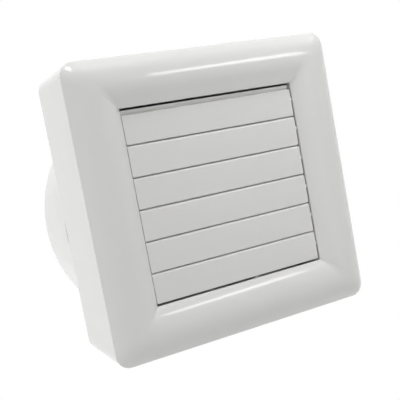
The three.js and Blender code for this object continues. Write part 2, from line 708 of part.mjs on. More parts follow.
function louvre(isDriven) {
  const height = PITCH + LIP_HEIGHT - LOUVRE_SEAM;
  const middle = PIVOT_DROP + LIP_HEIGHT - height / 2;
  const face = roundedBox(0, middle, 2 * LOUVRE_HALF, height, LOUVRE_EDGE);
  const slat = common(
    alongX(louvreSection(), -LOUVRE_HALF, LOUVRE_HALF),
    alongY(face, -LOUVRE_WALL - OVERCUT, LOUVRE_WALL + OVERCUT, 2),
  );
  const body = join(slat, ...louvreEnd(1), ...louvreEnd(-1), crankArm(), ...crankPin());
  if (!isDriven) return body;
  const hole = circle(DRIVE_Y, DRIVE_Z, PIVOT_RADIUS + SEAT_GAP);
  return cut(body, alongX(hole, CRANK_X - CRANK_WALL, CRANK_X + CRANK_WALL, 6));
}

function drivePin() {
  const start = CRANK_X - CRANK_WALL;
  const end = ACTUATOR_X + YOKE_WALL;
  return alongX(circle(DRIVE_Y, DRIVE_Z, PIVOT_RADIUS), start, end, 6);
}

// Flat bar with an eye for each crank pin, drawn about the lowest pin.
function linkBar() {
  const top = (LOUVRE_COUNT - 1) * PITCH;
  const half = LINK_WIDTH / 2;
  const bar = alongX(polygon([[-half, 0], [half, 0], [half, top], [-half, top]]),
    0, LINK_WALL);
  const eyes = [];
  const holes = [];
  for (let i = 0; i < LOUVRE_COUNT; i++) {
    eyes.push(alongX(circle(0, i * PITCH, LINK_EYE_RADIUS), 0, LINK_WALL, 5));
    const hole = circle(0, i * PITCH, PIVOT_RADIUS + RUNNING_GAP);
    holes.push(alongX(hole, -OVERCUT, LINK_WALL + OVERCUT));
  }
  return cut(join(bar, ...eyes), ...holes);
}

function addLouvres(housing) {
  for (let number = 1; number <= LOUVRE_COUNT; number++) {
    const isDriven = number === DRIVEN_LOUVRE;
    const mesh = place(housing, `louvre_${number}`, louvre(isDriven), WHITE_GLOSS);
    mesh.position.set(0, PIVOT_Y, pivotZ(number));
  }
  const pin = place(housing, 'drive_pin', drivePin(), STEEL);
  pin.position.set(0, PIVOT_Y, pivotZ(DRIVEN_LOUVRE));
  const bar = place(housing, 'link_bar', linkBar(), WHITE_SATIN);
  bar.position.set(LINK_X, PIVOT_Y + CRANK_Y, pivotZ(LOUVRE_COUNT) + CRANK_Z);
}

// ------------------------------------------------------------------ actuator
// Drawn about the drive pin's rest height, on the plunger's own axis.
function plunger() {
  const slotHalf = (DRIVE_RADIUS - DRIVE_Y) / 2 + YOKE_END_PLAY;
  const slot = stadium(-slotHalf, 0, slotHalf, 0, PIVOT_RADIUS + YOKE_PLAY);
  const yoke = roundedBox(0, 0, 2 * YOKE_HALF, 2 * YOKE_HALF, YOKE_CORNER);
  yoke.holes.push(slot);
  const collar = SPRING_RADIUS + SPRING_WIRE;
  const rod = turnedZ([
    [0, YOKE_HALF - ROOT_LAP],
    [PLUNGER_RADIUS, YOKE_HALF - ROOT_LAP],
    [PLUNGER_RADIUS, COLLAR_Z],
    [collar, COLLAR_Z],
    [collar, COLLAR_Z + COLLAR_WALL],
    [PLUNGER_RADIUS, COLLAR_Z + COLLAR_WALL],
    [PLUNGER_RADIUS, YOKE_HALF + PLUNGER_LENGTH],
    [0, YOKE_HALF + PLUNGER_LENGTH],
  ], 12);
  return join(alongX(yoke, -YOKE_WALL / 2, YOKE_WALL / 2, 4), rod);
}

class Helix extends THREE.Curve {
  getPoint(t, target = new THREE.Vector3()) {
    const angle = 2 * Math.PI * SPRING_TURNS * t;
    const rise = SPRING_LENGTH - SPRING_WIRE - 2 * SEAT_GAP;
    const z = SPRING_SEAT + SEAT_GAP + SPRING_WIRE / 2 + rise * t;
    return target.set(SPRING_RADIUS * Math.cos(angle), SPRING_RADIUS * Math.sin(angle), z);
  }
}

function returnSpring() {
  const section = circle(0, 0, SPRING_WIRE / 2);
  const steps = 9 * SPRING_TURNS;
  const options = { extrudePath: new Helix(), steps, curveSegments: 3 };
  return new THREE.ExtrudeGeometry(section, { ...options, bevelEnabled: false });
}

function actuatorBody() {
  const seat = ACTUATOR_FLANGE_Z + BRACKET_WALL + SEAT_GAP;
  const top = seat + ACTUATOR_LENGTH;
  const bore = PLUNGER_RADIUS + RUNNING_GAP;
  const boreTop = YOKE_HALF + PLUNGER_LENGTH + PLUNGER_END_GAP;
  const body = turnedZ([
    [bore, ACTUATOR_FLANGE_Z - NOSE_LENGTH],
    [NOSE_RADIUS, ACTUATOR_FLANGE_Z - NOSE_LENGTH],
    [NOSE_RADIUS, seat],
    [ACTUATOR_RADIUS, seat],
    [ACTUATOR_RADIUS, top - ACTUATOR_EDGE],
    [ACTUATOR_RADIUS - ACTUATOR_EDGE, top],
    [0, top],
    [0, boreTop],
    [bore, boreTop],
  ], 16);
  const tab = roundedBox(0, top + TAB_HEIGHT / 2 - ROOT_LAP / 2, TAB_WIDTH,
    TAB_HEIGHT + ROOT_LAP, TAB_WALL);
  const tabs = [-TAB_SPREAD, TAB_SPREAD].map((x) =>
    alongX(tab, x - TAB_WALL / 2, x + TAB_WALL / 2, 2));
  return join(body, ...tabs);
}

// Folded strip: a back plate on two bosses with a flange for the plunger's
// guide and one for the actuator's nose. Places are about the plunger's axis.
function actuatorBracket() {
  const back = BRACKET_FRONT - (PIVOT_Y + PLUNGER_Y);
  const left = -ACTUATOR_RADIUS;
  const edge = BRACKET_REACH + BRACKET_BOSS;
  const guideZ = SPRING_SEAT - BRACKET_WALL;
  const top = ACTUATOR_FLANGE_Z + BRACKET_LENGTH;
  const corner = BRACKET_CORNER;
  const plateOutline = polygon([
    [left, guideZ], [ACTUATOR_RADIUS, guideZ], [edge, guideZ + 2 * corner],
    [edge, top - corner], [edge - corner, top], [left, top],
  ]);
  const screwBase = pivotZ(DRIVEN_LOUVRE) + DRIVE_Z;
  for (const z of BRACKET_SCREW_Z) {
    plateOutline.holes.push(circle(BRACKET_REACH, z - screwBase, M3_RADIUS + RUNNING_GAP));
  }
  const flange = (z, radius) => {
    const depth = ACTUATOR_RADIUS - back;
    const outline = roundedBox(0, back + depth / 2, 2 * ACTUATOR_RADIUS, depth, 1);
    outline.holes.push(circle(0, 0, radius));
    return alongZ(outline, z, z + BRACKET_WALL, 6);
  };
  return join(
    alongY(plateOutline, back, back + BRACKET_WALL),
    flange(guideZ, PLUNGER_RADIUS + 2 * RUNNING_GAP),
    flange(ACTUATOR_FLANGE_Z, NOSE_RADIUS + 2 * SEAT_GAP),
  );
}

// A pan-head screw along +Y: the head's rear face is at 0, the shank runs on.
function screw(radius, length, head) {
  const crown = 0.8;
  return turned([
    [0, -head.height],
    [head.radius * crown, -head.height],
    [head.radius, 0],
    [radius, 0],
    [radius, length - radius / 2],
    [radius / 2, length],
    [0, length],
  ], 8);
}

function addActuator(housing) {
  const axis = new THREE.Group();
  axis.position.set(ACTUATOR_X, PIVOT_Y + PLUNGER_Y, pivotZ(DRIVEN_LOUVRE) + DRIVE_Z);
  housing.add(axis);
  place(axis, 'plunger', plunger(), GREY_PLASTIC);
  place(axis, 'return_spring', returnSpring(), STEEL);
  place(axis, 'actuator', actuatorBody(), BRONZE);
  place(axis, 'actuator_bracket', actuatorBracket(), STEEL);
  const seat = BRACKET_FRONT + BRACKET_WALL + SEAT_GAP;
  BRACKET_SCREW_Z.forEach((z, i) => {
    const geometry = screw(M3_RADIUS, ACTUATOR_SCREW, PAN_HEAD);
    const mesh = place(housing, `actuator_screw_${i + 1}`, geometry, STEEL);
    mesh.rotation.x = Math.PI;
    mesh.position.set(BRACKET_SCREW_X, seat, z);
  });
}

// ---------------------------------------------------------------- base plate
function ductTube() {
  const middle = [DUCT_RADIUS + BELLMOUTH, DUCT_FRONT + BELLMOUTH];
  const flare = arc(...middle, BELLMOUTH, 1.5 * Math.PI, Math.PI, 2);
  const outer = arc(...middle, BELLMOUTH - DUCT_WALL, Math.PI, 1.5 * Math.PI, 2);
  return turned([
    ...flare,
    [DUCT_RADIUS, DUCT_REAR],
    [DUCT_OUTER, DUCT_REAR],
    ...outer,
  ]);
}

function lugPlaces() {
  return LUG_ANGLES.map((angle) =>
    [LUG_CIRCLE * Math.cos(angle), LUG_CIRCLE * Math.sin(angle)]);
}

function motorRing() {
  const ring = circle(0, 0, MOTOR_RING_OUTER);
  ring.holes.push(circle(0, 0, MOTOR_RING_INNER));
  for (const [x, z] of lugPlaces()) {
    ring.holes.push(circle(x, z, M3_RADIUS + RUNNING_GAP));
  }
  return alongY(ring, ARM_FRONT + ROOT_LAP, MOTOR_RING_REAR, 8);
}

function spiderArm(quarter) {
  const inner = MOTOR_RING_OUTER - 2 * ROOT_LAP;
  const length = DUCT_RADIUS + ROOT_LAP - inner;
  const depth = MOTOR_RING_REAR - ARM_FRONT;
  return new THREE.BoxGeometry(length, depth, ARM_WIDTH)
    .translate(inner + length / 2, ARM_FRONT + depth / 2, 0)
    .rotateY(quarter * Math.PI / 2);
}

function clampPlaces() {
  return [[1, 1], [-1, 1], [-1, -1], [1, -1]]
    .map(([sx, sz]) => [sx * CLAMP_OFFSET, sz * CLAMP_OFFSET]);
}

function cablePostPlaces() {
  return [-CABLE_BAR_SPAN, CABLE_BAR_SPAN].map((span) => [CABLE_BAR_X, TERMINAL_Z + span]);
}

// Everything on the plate's front that a screw goes into: [x, z, radius, height].
function basePosts() {
  const clampPosts = clampPlaces().map((place) => [...place, BOSS_RADIUS, BASE_BOSS_DEPTH]);
  const cablePosts = cablePostPlaces().map((place) =>
    [...place, CABLE_POST.radius, CABLE_POST.height]);
  const coverPost = [COVER_SCREW_X, TERMINAL_Z, COVER_POST.radius, COVER_POST.height];
  return [...clampPosts, ...cablePosts, coverPost].map(([x, z, radius, height]) =>
    alongY(circle(x, z, radius), BASE_FRONT - height, BASE_FRONT + ROOT_LAP));
}

function postHoles() {
  const drill = (x, z, radius, height) => alongY(circle(x, z, radius + RUNNING_GAP),
    BASE_FRONT - height - OVERCUT, BASE_REAR + OVERCUT);
  return [
    ...clampPlaces().map(([x, z]) => drill(x, z, M4_RADIUS, BASE_BOSS_DEPTH)),
    ...cablePostPlaces().map(([x, z]) => drill(x, z, M3_RADIUS, CABLE_POST.height)),
    drill(COVER_SCREW_X, TERMINAL_Z, M3_RADIUS, COVER_POST.height),
  ];
}

function frameScrewBlocks() {
  const [width, depth, height] = SCREW_BLOCK;
  return [-FRAME_SCREW_X, FRAME_SCREW_X].map((x) =>
    alongZ(roundedBox(x, FRAME_SCREW_Y, width, depth, BLOCK_CORNER),
      BASE_BOTTOM + ROOT_LAP, BASE_BOTTOM + height, 2));
}

function frameScrewBores() {
  const [, , height] = SCREW_BLOCK;
  return [-FRAME_SCREW_X, FRAME_SCREW_X].map((x) =>
    alongZ(circle(x, FRAME_SCREW_Y, M3_RADIUS + RUNNING_GAP),
      BASE_BOTTOM - OVERCUT, BASE_BOTTOM + height - SCREW_END_GAP));
}

function leadHole(y0, y1) {
  return alongY(circle(0, LEAD_HOLE_Z, LEAD_RADIUS + LEAD_GAP), y0 - OVERCUT, y1 + OVERCUT);
}

function rim() {
  const outline = roundedBox(0, HOUSING_Z, BASE_SIZE, BASE_SIZE, BASE_CORNER);
  const inside = BASE_SIZE - 2 * BASE_WALL;
  outline.holes.push(roundedBox(0, HOUSING_Z, inside, inside, BASE_CORNER - BASE_WALL));
  return alongY(outline, BASE_FRONT - RIM_HEIGHT, BASE_FRONT + ROOT_LAP, 3);
}

function basePlate() {
  const outline = roundedBox(0, HOUSING_Z, BASE_SIZE, BASE_SIZE, BASE_CORNER);
  const way = circle(0, 0, DUCT_RADIUS + DUCT_WALL / 2);
  const plate = cut(alongY(outline, BASE_FRONT, BASE_REAR, 3),
    alongY(way, BASE_FRONT - OVERCUT, BASE_REAR + OVERCUT, 16));
  const arms = [0, 1, 2, 3].map(spiderArm);
  const body = join(plate, rim(), ductTube(), motorRing(), ...arms, ...basePosts(),
    ...frameScrewBlocks());
  return cut(body, ...postHoles(), ...frameScrewBores(), leadHole(BASE_FRONT, BASE_REAR));
}

// ------------------------------------------------------------- cowl, gaskets
function cowlShell() {
  const rear = COWL_DEPTH;
  const edge = arc(COWL_RADIUS - COWL_EDGE, rear - COWL_EDGE, COWL_EDGE, 0, Math.PI / 2, 2);
  return turned([
    [COWL_BORE, FLANGE_FRONT],
    [COWL_INSIDE, FLANGE_FRONT],
    [COWL_INSIDE, COWL_FRONT],
    [COWL_RADIUS, COWL_FRONT],
    ...edge,
    [COWL_RADIUS - COWL_LIP, rear],
    [COWL_RADIUS - COWL_LIP, rear - COWL_WALL],
    [COWL_INSIDE, rear - COWL_WALL],
    [COWL_INSIDE, FLANGE_REAR],
    [COWL_BORE, FLANGE_REAR],
  ], 44);
}

function drainSlots() {
  const y = COWL_DEPTH - DRAIN_REAR_GAP;
  return DRAIN_X.map((x) =>
    alongZ(roundedBox(x, y, DRAIN_WIDTH, DRAIN_LENGTH, DRAIN_CORNER),
      -COWL_RADIUS - OVERCUT, -COWL_RADIUS + 3 * COWL_WALL, 3));
}

function outerCowl() {
  const bossRear = FLANGE_FRONT + BOSS_DEPTH;
  const bosses = clampPlaces().map(([x, z]) =>
    alongY(circle(x, z, BOSS_RADIUS), FLANGE_FRONT, bossRear, 5));
  const bores = clampPlaces().map(([x, z]) =>
    alongY(circle(x, z, M4_RADIUS + RUNNING_GAP), FLANGE_FRONT - OVERCUT, bossRear - BOSS_FLOOR));
  return cut(join(cowlShell(), ...bosses), ...bores, ...drainSlots(),
    leadHole(FLANGE_FRONT, FLANGE_REAR));
}

function gasket(outer, y0) {
  const outline = circle(0, 0, outer);
  outline.holes.push(circle(0, 0, GASKET_INNER));
  return alongY(outline, y0, y0 + GASKET_WALL, 18);
}

function guardRing(inner, outer, segments) {
  const front = GUARD_REAR - GUARD_DEPTH;
  return turned([[inner, front], [outer, front], [outer, GUARD_REAR], [inner, GUARD_REAR]],
    segments);
}

function rearGuard() {
  const rimOuter = COWL_INSIDE - 2 * SEAT_GAP;
  const rimInner = COWL_RADIUS - COWL_LIP - GUARD_LAP;
  const step = (rimInner - GUARD_HUB) / GUARD_RINGS;
  const bars = [guardRing(0, GUARD_HUB, 16), guardRing(rimInner, rimOuter, 36)];
  for (let ring = 1; ring < GUARD_RINGS; ring++) {
    const inner = GUARD_HUB + ring * step - GUARD_BAR;
    bars.push(guardRing(inner, inner + GUARD_BAR, 12 + 3 * ring));
  }
  const start = GUARD_HUB - 2 * ROOT_LAP;
  const length = rimInner + 2 * ROOT_LAP - start;
  for (let spoke = 0; spoke < GUARD_SPOKES; spoke++) {
    const bar = new THREE.BoxGeometry(length, GUARD_DEPTH, GUARD_BAR)
      .translate(start + length / 2, GUARD_REAR - GUARD_DEPTH / 2, 0)
      .rotateY((2 * Math.PI * (spoke + 0.5)) / GUARD_SPOKES);
    bars.push(bar);
  }
  return join(...bars);
}

function addClampScrews(root) {
  const head = BASE_FRONT - BASE_BOSS_DEPTH - SEAT_GAP;
  const tip = FLANGE_FRONT + BOSS_DEPTH - BOSS_FLOOR - SCREW_END_GAP;
  clampPlaces().forEach(([x, z], i) => {
    const geometry = screw(M4_RADIUS, tip - head, CLAMP_HEAD);
    const mesh = place(root, `clamp_screw_${i + 1}`, geometry, STEEL);
    mesh.position.set(x, head, z);
  });
}

function addFrameScrews(root) {
  const seat = HOUSING_Z - FRONT_SIZE / 2 + FRAME_SCREW_SEAT + SEAT_GAP;
  [-FRAME_SCREW_X, FRAME_SCREW_X].forEach((x, i) => {
    const geometry = screw(M3_RADIUS, FRAME_SCREW, FLAT_HEAD);
    const mesh = place(root, `frame_screw_${i + 1}`, geometry, STEEL);
    mesh.rotation.x = Math.PI / 2;
    mesh.position.set(x, FRAME_SCREW_Y, seat - 2 * SEAT_GAP);
  });
}

function addEnclosure(root) {
  place(root, 'base_plate', basePlate(), WHITE_SATIN);
  place(root, 'inner_gasket', gasket(INNER_GASKET_OUTER, -GASKET_WALL), SOFT_RUBBER);
  place(root, 'outer_gasket', gasket(OUTER_GASKET_OUTER, PANE_GAP), SOFT_RUBBER);
  place(root, 'outer_cowl', outerCowl(), WHITE_GLOSS);
  place(root, 'rear_guard', rearGuard(), WHITE_GLOSS);
  addClampScrews(root);
  addFrameScrews(root);
}

// ------------------------------------------------------------------ impeller
// One ring of a blade: round the section at a radius, along one face and back
// along the other. The chord is set at the pitch angle to the plane of turning.
function bladeRing(share) {
  const steps = 4;
  const mix = THREE.MathUtils.lerp;
  const radius = mix(HUB_RADIUS - HUB_WALL / 2, TIP_RADIUS, share);
  const pitch = mix(ROOT_PITCH, TIP_PITCH, Math.sqrt(share));
  const chord = mix(ROOT_CHORD, TIP_CHORD, share);
  const middle = (HUB_FRONT + HUB_REAR) / 2 + BLADE_SETBACK;
  const point = (u, side) => {
    const along = (u - 0.5) * chord;
    const bow = 1 - (2 * u - 1) ** 2;
    const half = (BLADE_WALL / 2) * mix(BLADE_EDGE, 1, bow);
    const out = BLADE_CAMBER * chord * bow + side * half;
    const across = along * Math.cos(pitch) - out * Math.sin(pitch);
    const back = along * Math.sin(pitch) + out * Math.cos(pitch);
    const angle = across / radius + BLADE_SWEEP * share * share;
    return [radius * Math.sin(angle), middle + back, radius * Math.cos(angle)];
  };
  const ring = [];
  for (let i = 0; i <= steps; i++) ring.push(point(i / steps, -1));
  for (let i = steps; i >= 0; i--) ring.push(point(i / steps, 1));
  return ring;
}

function blade(turn) {
  const rings = [];
  const steps = 4;
  for (let i = 0; i <= steps; i++) rings.push(bladeRing(i / steps));
  return loftTube(rings).rotateY(turn);
}

function impellerHub() {
  const bore = SHAFT_RADIUS + SEAT_GAP;
  const inside = HUB_RADIUS - HUB_WALL;
  const floor = HUB_FRONT + HUB_WALL;
  const bossEnd = HUB_REAR - HUB_BOSS_SETBACK;
  const innerEdge = HUB_EDGE - HUB_WALL / 2;
  const nose = arc(HUB_RADIUS - HUB_EDGE, HUB_FRONT + HUB_EDGE, HUB_EDGE,
    1.5 * Math.PI, 2 * Math.PI, 2);
  const hollow = arc(inside - innerEdge, floor + innerEdge, innerEdge,
    2 * Math.PI, 1.5 * Math.PI, 2);
  return turned([
    [bore, HUB_FRONT],
    ...nose,
    [HUB_RADIUS, HUB_REAR],
    [inside, HUB_REAR],
    ...hollow,
    [HUB_BOSS_RADIUS, floor],
    [HUB_BOSS_RADIUS, bossEnd],
    [bore, bossEnd],
  ], 3 * BLADE_COUNT);
}

function hubRib(turn) {
  const inner = HUB_BOSS_RADIUS - ROOT_LAP;
  const outer = HUB_RADIUS - HUB_WALL / 2;
  const front = HUB_FRONT + HUB_WALL / 2;
  const depth = HUB_REAR - HUB_RIB_SETBACK - front;
  return new THREE.BoxGeometry(outer - inner, depth, HUB_RIB_WALL)
    .translate((outer + inner) / 2, front + depth / 2, 0)
    .rotateY(turn);
}

function aroundAxis(count, make) {
  return Array.from({ length: count }, (_, i) => make((2 * Math.PI * i) / count));
}

function impeller() {
  return join(impellerHub(), ...aroundAxis(BLADE_COUNT, blade),
    ...aroundAxis(HUB_RIB_COUNT, hubRib));
}

function hexNut() {
  const hexagon = polygon(arc(0, 0, NUT_RADIUS, 0, (5 / 3) * Math.PI, 5));
  hexagon.holes.push(circle(0, 0, SHAFT_RADIUS + SEAT_GAP));
  const seat = HUB_FRONT - SEAT_GAP;
  return alongY(hexagon, seat - NUT_HEIGHT, seat, 6);
}

function shaft() {
  const rear = CUP_REAR - CUP_WALL - SHAFT_EDGE;
  return turned([
    [0, SHAFT_FRONT],
    [SHAFT_RADIUS - SHAFT_EDGE, SHAFT_FRONT],
    [SHAFT_RADIUS, SHAFT_FRONT + SHAFT_EDGE],
    [SHAFT_RADIUS, rear - SHAFT_EDGE],
    [SHAFT_RADIUS - SHAFT_EDGE, rear],
    [0, rear],
  ], 20);
}

// Laminated core with a cast ring at each end.
function rotor() {
  const bore = SHAFT_RADIUS + SEAT_GAP;
  const radius = BORE_RADIUS - AIR_GAP;
  const ringInner = radius - END_RING_WALL;
  const front = STACK_MID - STACK_LENGTH / 2;
  const rear = STACK_MID + STACK_LENGTH / 2;
  return turned([
    [bore, front],
    [ringInner, front],
    [ringInner, front - END_RING_LENGTH],
    [radius - END_RING_EDGE, front - END_RING_LENGTH],
    [radius, front],
    [radius, rear],
    [radius - END_RING_EDGE, rear + END_RING_LENGTH],
    [ringInner, rear + END_RING_LENGTH],
    [ringInner, rear],
    [bore, rear],
  ], 18);
}

function addRotor(root) {
  place(root, 'impeller', impeller(), WHITE_SATIN);
  place(root, 'hub_nut', hexNut(), STEEL);
  place(root, 'shaft', shaft(), STEEL);
  place(root, 'rotor', rotor(), STACK_STEEL);
}

// --------------------------------------------------------------------- motor
// Outline of everything inside the yoke: the bore, the gaps between the pole
// shoes and the four winding spaces.
function statorWindow() {
  const points = [];
  const halfPole = POLE_WIDTH / 2;
  const halfShoe = SHOE_SPAN / 2;
  const shoeBack = BORE_RADIUS + SHOE_DEPTH;
  const neckAngle = Math.asin(halfPole / shoeBack);
  const yokeAngle = Math.asin(halfPole / YOKE_INNER);
  for (let k = 0; k < POLE_COUNT; k++) {
    const pole = (2 * Math.PI * k) / POLE_COUNT;
    const next = pole + (2 * Math.PI) / POLE_COUNT;
    points.push(...arc(0, 0, BORE_RADIUS, pole - halfShoe, pole + halfShoe, 6));
    points.push(...arc(0, 0, shoeBack, pole + halfShoe, pole + neckAngle, 2));
    points.push(...arc(0, 0, YOKE_INNER, pole + yokeAngle, next - yokeAngle, 4));
    points.push(...arc(0, 0, shoeBack, next - neckAngle, next - halfShoe, 2));
  }
  return polygon(points);
}

function statorStack() {
  const outline = circle(0, 0, STACK_RADIUS);
  outline.holes.push(statorWindow());
  const half = STACK_LENGTH / 2;
  return alongY(outline, STACK_MID - half, STACK_MID + half, 16);
}

// A wound coil round one pole, drawn for the pole on +X.
function statorCoil() {
  const width = POLE_WIDTH + 2 * SEAT_GAP;
  const height = STACK_LENGTH + 2 * SEAT_GAP;
  const outline = roundedBox(0, 0, width + 2 * COIL_WALL, height + 2 * COIL_WALL, COIL_CORNER);
  outline.holes.push(roundedBox(0, 0, width, height, COIL_INNER_CORNER));
  const inner = BORE_RADIUS + SHOE_DEPTH + SEAT_GAP;
  const outer = Math.sqrt(YOKE_INNER ** 2 - (width / 2 + COIL_WALL) ** 2) - 2 * SEAT_GAP;
  const options = { depth: outer - inner, bevelEnabled: false, curveSegments: 1 };
  const turn = new THREE.Matrix4().makeBasis(
    new THREE.Vector3(0, 0, 1),
    new THREE.Vector3(0, -1, 0),
    new THREE.Vector3(1, 0, 0),
  );
  return new THREE.ExtrudeGeometry(outline, options).applyMatrix4(turn)
    .translate(inner, STACK_MID, 0);
}

function lugs(y0, y1) {
  const root = (CUP_INSIDE - CUP_WALL) / LUG_CIRCLE;
  return lugPlaces().map(([x, z]) => alongY(stadium(x * root, z * root, x, z, LUG_RADIUS), y0, y1));
}

function lugHoles(y0, y1) {
  return lugPlaces().map(([x, z]) =>
    alongY(circle(x, z, M3_RADIUS + RUNNING_GAP), y0 - OVERCUT, y1 + OVERCUT));
}

function motorShield() {
  const rear = SHIELD_FRONT + SHIELD_WALL;
  const bossRear = rear + BUSH_LENGTH;
  const bossRadius = BUSH_POCKET + BUSH_POCKET_WALL;
  const shaftHole = SHAFT_RADIUS + SHAFT_HOLE_GAP;
  const disc = turned([
    [shaftHole, SHIELD_FRONT],
    [MOTOR_RADIUS, SHIELD_FRONT],
    [MOTOR_RADIUS, rear],
    [bossRadius, rear],
    [bossRadius, bossRear],
    [BUSH_POCKET, bossRear],
    [BUSH_POCKET, SHIELD_FRONT + BUSH_SEAT],
    [shaftHole, SHIELD_FRONT + BUSH_SEAT],
  ], 20);
  return cut(join(disc, ...lugs(SHIELD_FRONT, rear)), ...lugHoles(SHIELD_FRONT, rear));
}

function cupShell() {
  const floor = CUP_REAR - CUP_WALL;
  const innerEdge = CUP_EDGE - CUP_WALL;
  const dome = arc(MOTOR_RADIUS - CUP_EDGE, CUP_REAR - CUP_EDGE, CUP_EDGE, 0, Math.PI / 2, 3);
  const hollow = arc(CUP_INSIDE - innerEdge, floor - innerEdge, innerEdge, Math.PI / 2, 0, 3);
  return turned([
    [MOTOR_RADIUS, CUP_FRONT],
    ...dome,
    [0, CUP_REAR],
    [0, floor],
    [BUSH_POCKET, floor],
    [BUSH_POCKET, floor - BUSH_LENGTH],
    [BUSH_POCKET + BUSH_POCKET_WALL, floor - BUSH_LENGTH],
    [BUSH_POCKET + BUSH_POCKET_WALL, floor],
    ...hollow,
    [CUP_INSIDE, CUP_FRONT],
  ], 20);
}

// The lugs stop at the cup's wall, so that the winding space stays open.
function motorCup() {
  const lugRear = CUP_FRONT + LUG_WALL;
  const core = alongY(circle(0, 0, MOTOR_RADIUS - CUP_WALL / 2),
    CUP_FRONT - OVERCUT, lugRear + OVERCUT, 20);
  const trimmed = lugs(CUP_FRONT, lugRear).map((lug) => cut(lug, core));
  const leadWay = alongZ(circle(0, lugRear, LEAD_RADIUS + LEAD_GAP / 2),
    CUP_INSIDE - 3 * OVERCUT, MOTOR_RADIUS + OVERCUT);
  return cut(join(cupShell(), ...trimmed), ...lugHoles(CUP_FRONT, lugRear), leadWay);
}

// A spherical bearing bush, barrelled outside, with its bore on the shaft.
function bush(y0) {
  const bore = SHAFT_RADIUS + RUNNING_GAP;
  const y1 = y0 + BUSH_LENGTH - SEAT_GAP;
  const mid = (y0 + y1) / 2;
  return turned([
    [bore, y0],
    [BUSH_RADIUS - BUSH_EDGE, y0],
    [BUSH_RADIUS - BUSH_CROWN, mid - BUSH_LENGTH / 4],
    [BUSH_RADIUS, mid],
    [BUSH_RADIUS - BUSH_CROWN, mid + BUSH_LENGTH / 4],
    [BUSH_RADIUS - BUSH_EDGE, y1],
    [bore, y1],
  ], 12);
}

function addMotor(root) {
  place(root, 'motor_shield', motorShield(), STEEL);
  place(root, 'motor_cup', motorCup(), GREY_PLASTIC);
  place(root, 'stator_stack', statorStack(), STACK_STEEL);
  for (let k = 0; k < POLE_COUNT; k++) {
    const coil = place(root, `stator_coil_${k + 1}`, statorCoil(), COPPER_WIRE);
    coil.rotation.y = (2 * Math.PI * k) / POLE_COUNT;
  }
  place(root, 'front_bush', bush(SHIELD_FRONT + BUSH_SEAT + SEAT_GAP), BRONZE);
  place(root, 'rear_bush', bush(CUP_REAR - CUP_WALL - BUSH_LENGTH), BRONZE);
  const seat = CUP_FRONT + LUG_WALL + SEAT_GAP;
  lugPlaces().forEach(([x, z], i) => {
    const geometry = screw(M3_RADIUS, seat - MOTOR_RING_REAR + SHIELD_WALL + ROOT_LAP, PAN_HEAD);
    const mesh = place(root, `motor_screw_${i + 1}`, geometry, STEEL);
    mesh.rotation.x = Math.PI;
    mesh.position.set(x, seat, z);
  });
}

// -------------------------------------------------------------------- wiring
function terminalBlock() {
  const half = BLOCK_HEIGHT / 2;
  const [deep, high] = BLOCK_CHAMFER;
  const section = polygon([
    [BLOCK_REAR, -half], [BLOCK_REAR, half], [BLOCK_FRONT + deep, half],
    [BLOCK_FRONT, half - high], [BLOCK_FRONT, high - half], [BLOCK_FRONT + deep, -half],
  ]);
  const left = TERMINAL_X - BLOCK_WIDTH / 2;
  const body = alongX(section, left, left + BLOCK_WIDTH).translate(0, 0, TERMINAL_Z);
  const wells = [];
  for (let i = 0; i < TERMINAL_COUNT; i++) {
    const x = LEAD_X + i * CELL_WIDTH;
    const port = circle(x, PORT_Y, LEAD_RADIUS + PORT_GAP);
    wells.push(alongY(circle(x, TERMINAL_Z, WELL_RADIUS), BLOCK_FRONT - OVERCUT,
      BLOCK_REAR - WELL_FLOOR));
    wells.push(alongZ(port, TERMINAL_Z - half - OVERCUT, TERMINAL_Z + half + OVERCUT));
  }
  return cut(body, ...wells);
}

// Gates let the supply cable in on the right and the motor's lead out below.
function coverGates(right, bottom) {
  const cable = CABLE_RADIUS + OVERCUT;
  const depth = 2 * (BASE_FRONT - PORT_Y + LEAD_RADIUS + OVERCUT);
  const outline = roundedBox(BASE_FRONT, TERMINAL_Z, 2 * CABLE_AXIS, 2 * cable, GATE_CORNER);
  return [
    alongX(circle(BASE_FRONT - CABLE_AXIS, TERMINAL_Z, cable), right - GATE_WALL,
      right + GATE_WALL, 5),
    alongX(outline, right - GATE_WALL, right + GATE_WALL, 1),
    alongZ(roundedBox(LEAD_X, BASE_FRONT, LEAD_GATE_WIDTH, depth, GATE_CORNER),
      bottom - GATE_WALL, bottom + GATE_WALL, 1),
  ];
}

function terminalCover() {
  const height = BLOCK_HEIGHT + 2 * COVER_MARGIN;
  const middle = TERMINAL_X + COVER_OFFSET;
  const outer = roundedBox(middle, TERMINAL_Z, COVER_WIDTH, height, COVER_CORNER);
  const inner = roundedBox(middle, TERMINAL_Z, COVER_WIDTH - 2 * COVER_WALL,
    height - 2 * COVER_WALL, COVER_CORNER - COVER_WALL);
  const shell = cut(alongY(outer, COVER_FRONT, BASE_FRONT - SEAT_GAP, 3),
    alongY(inner, COVER_FRONT + COVER_WALL, BASE_FRONT, 3));
  const postTop = BASE_FRONT - COVER_POST.height - SEAT_GAP;
  const pillar = alongY(circle(COVER_SCREW_X, TERMINAL_Z, COVER_POST.radius),
    COVER_FRONT + ROOT_LAP, postTop);
  const screwHole = alongY(circle(COVER_SCREW_X, TERMINAL_Z, M3_RADIUS + RUNNING_GAP),
    COVER_FRONT - OVERCUT, postTop + OVERCUT);
  const gates = coverGates(middle + COVER_WIDTH / 2, TERMINAL_Z - height / 2);
  return cut(join(shell, pillar), ...gates, screwHole);
}

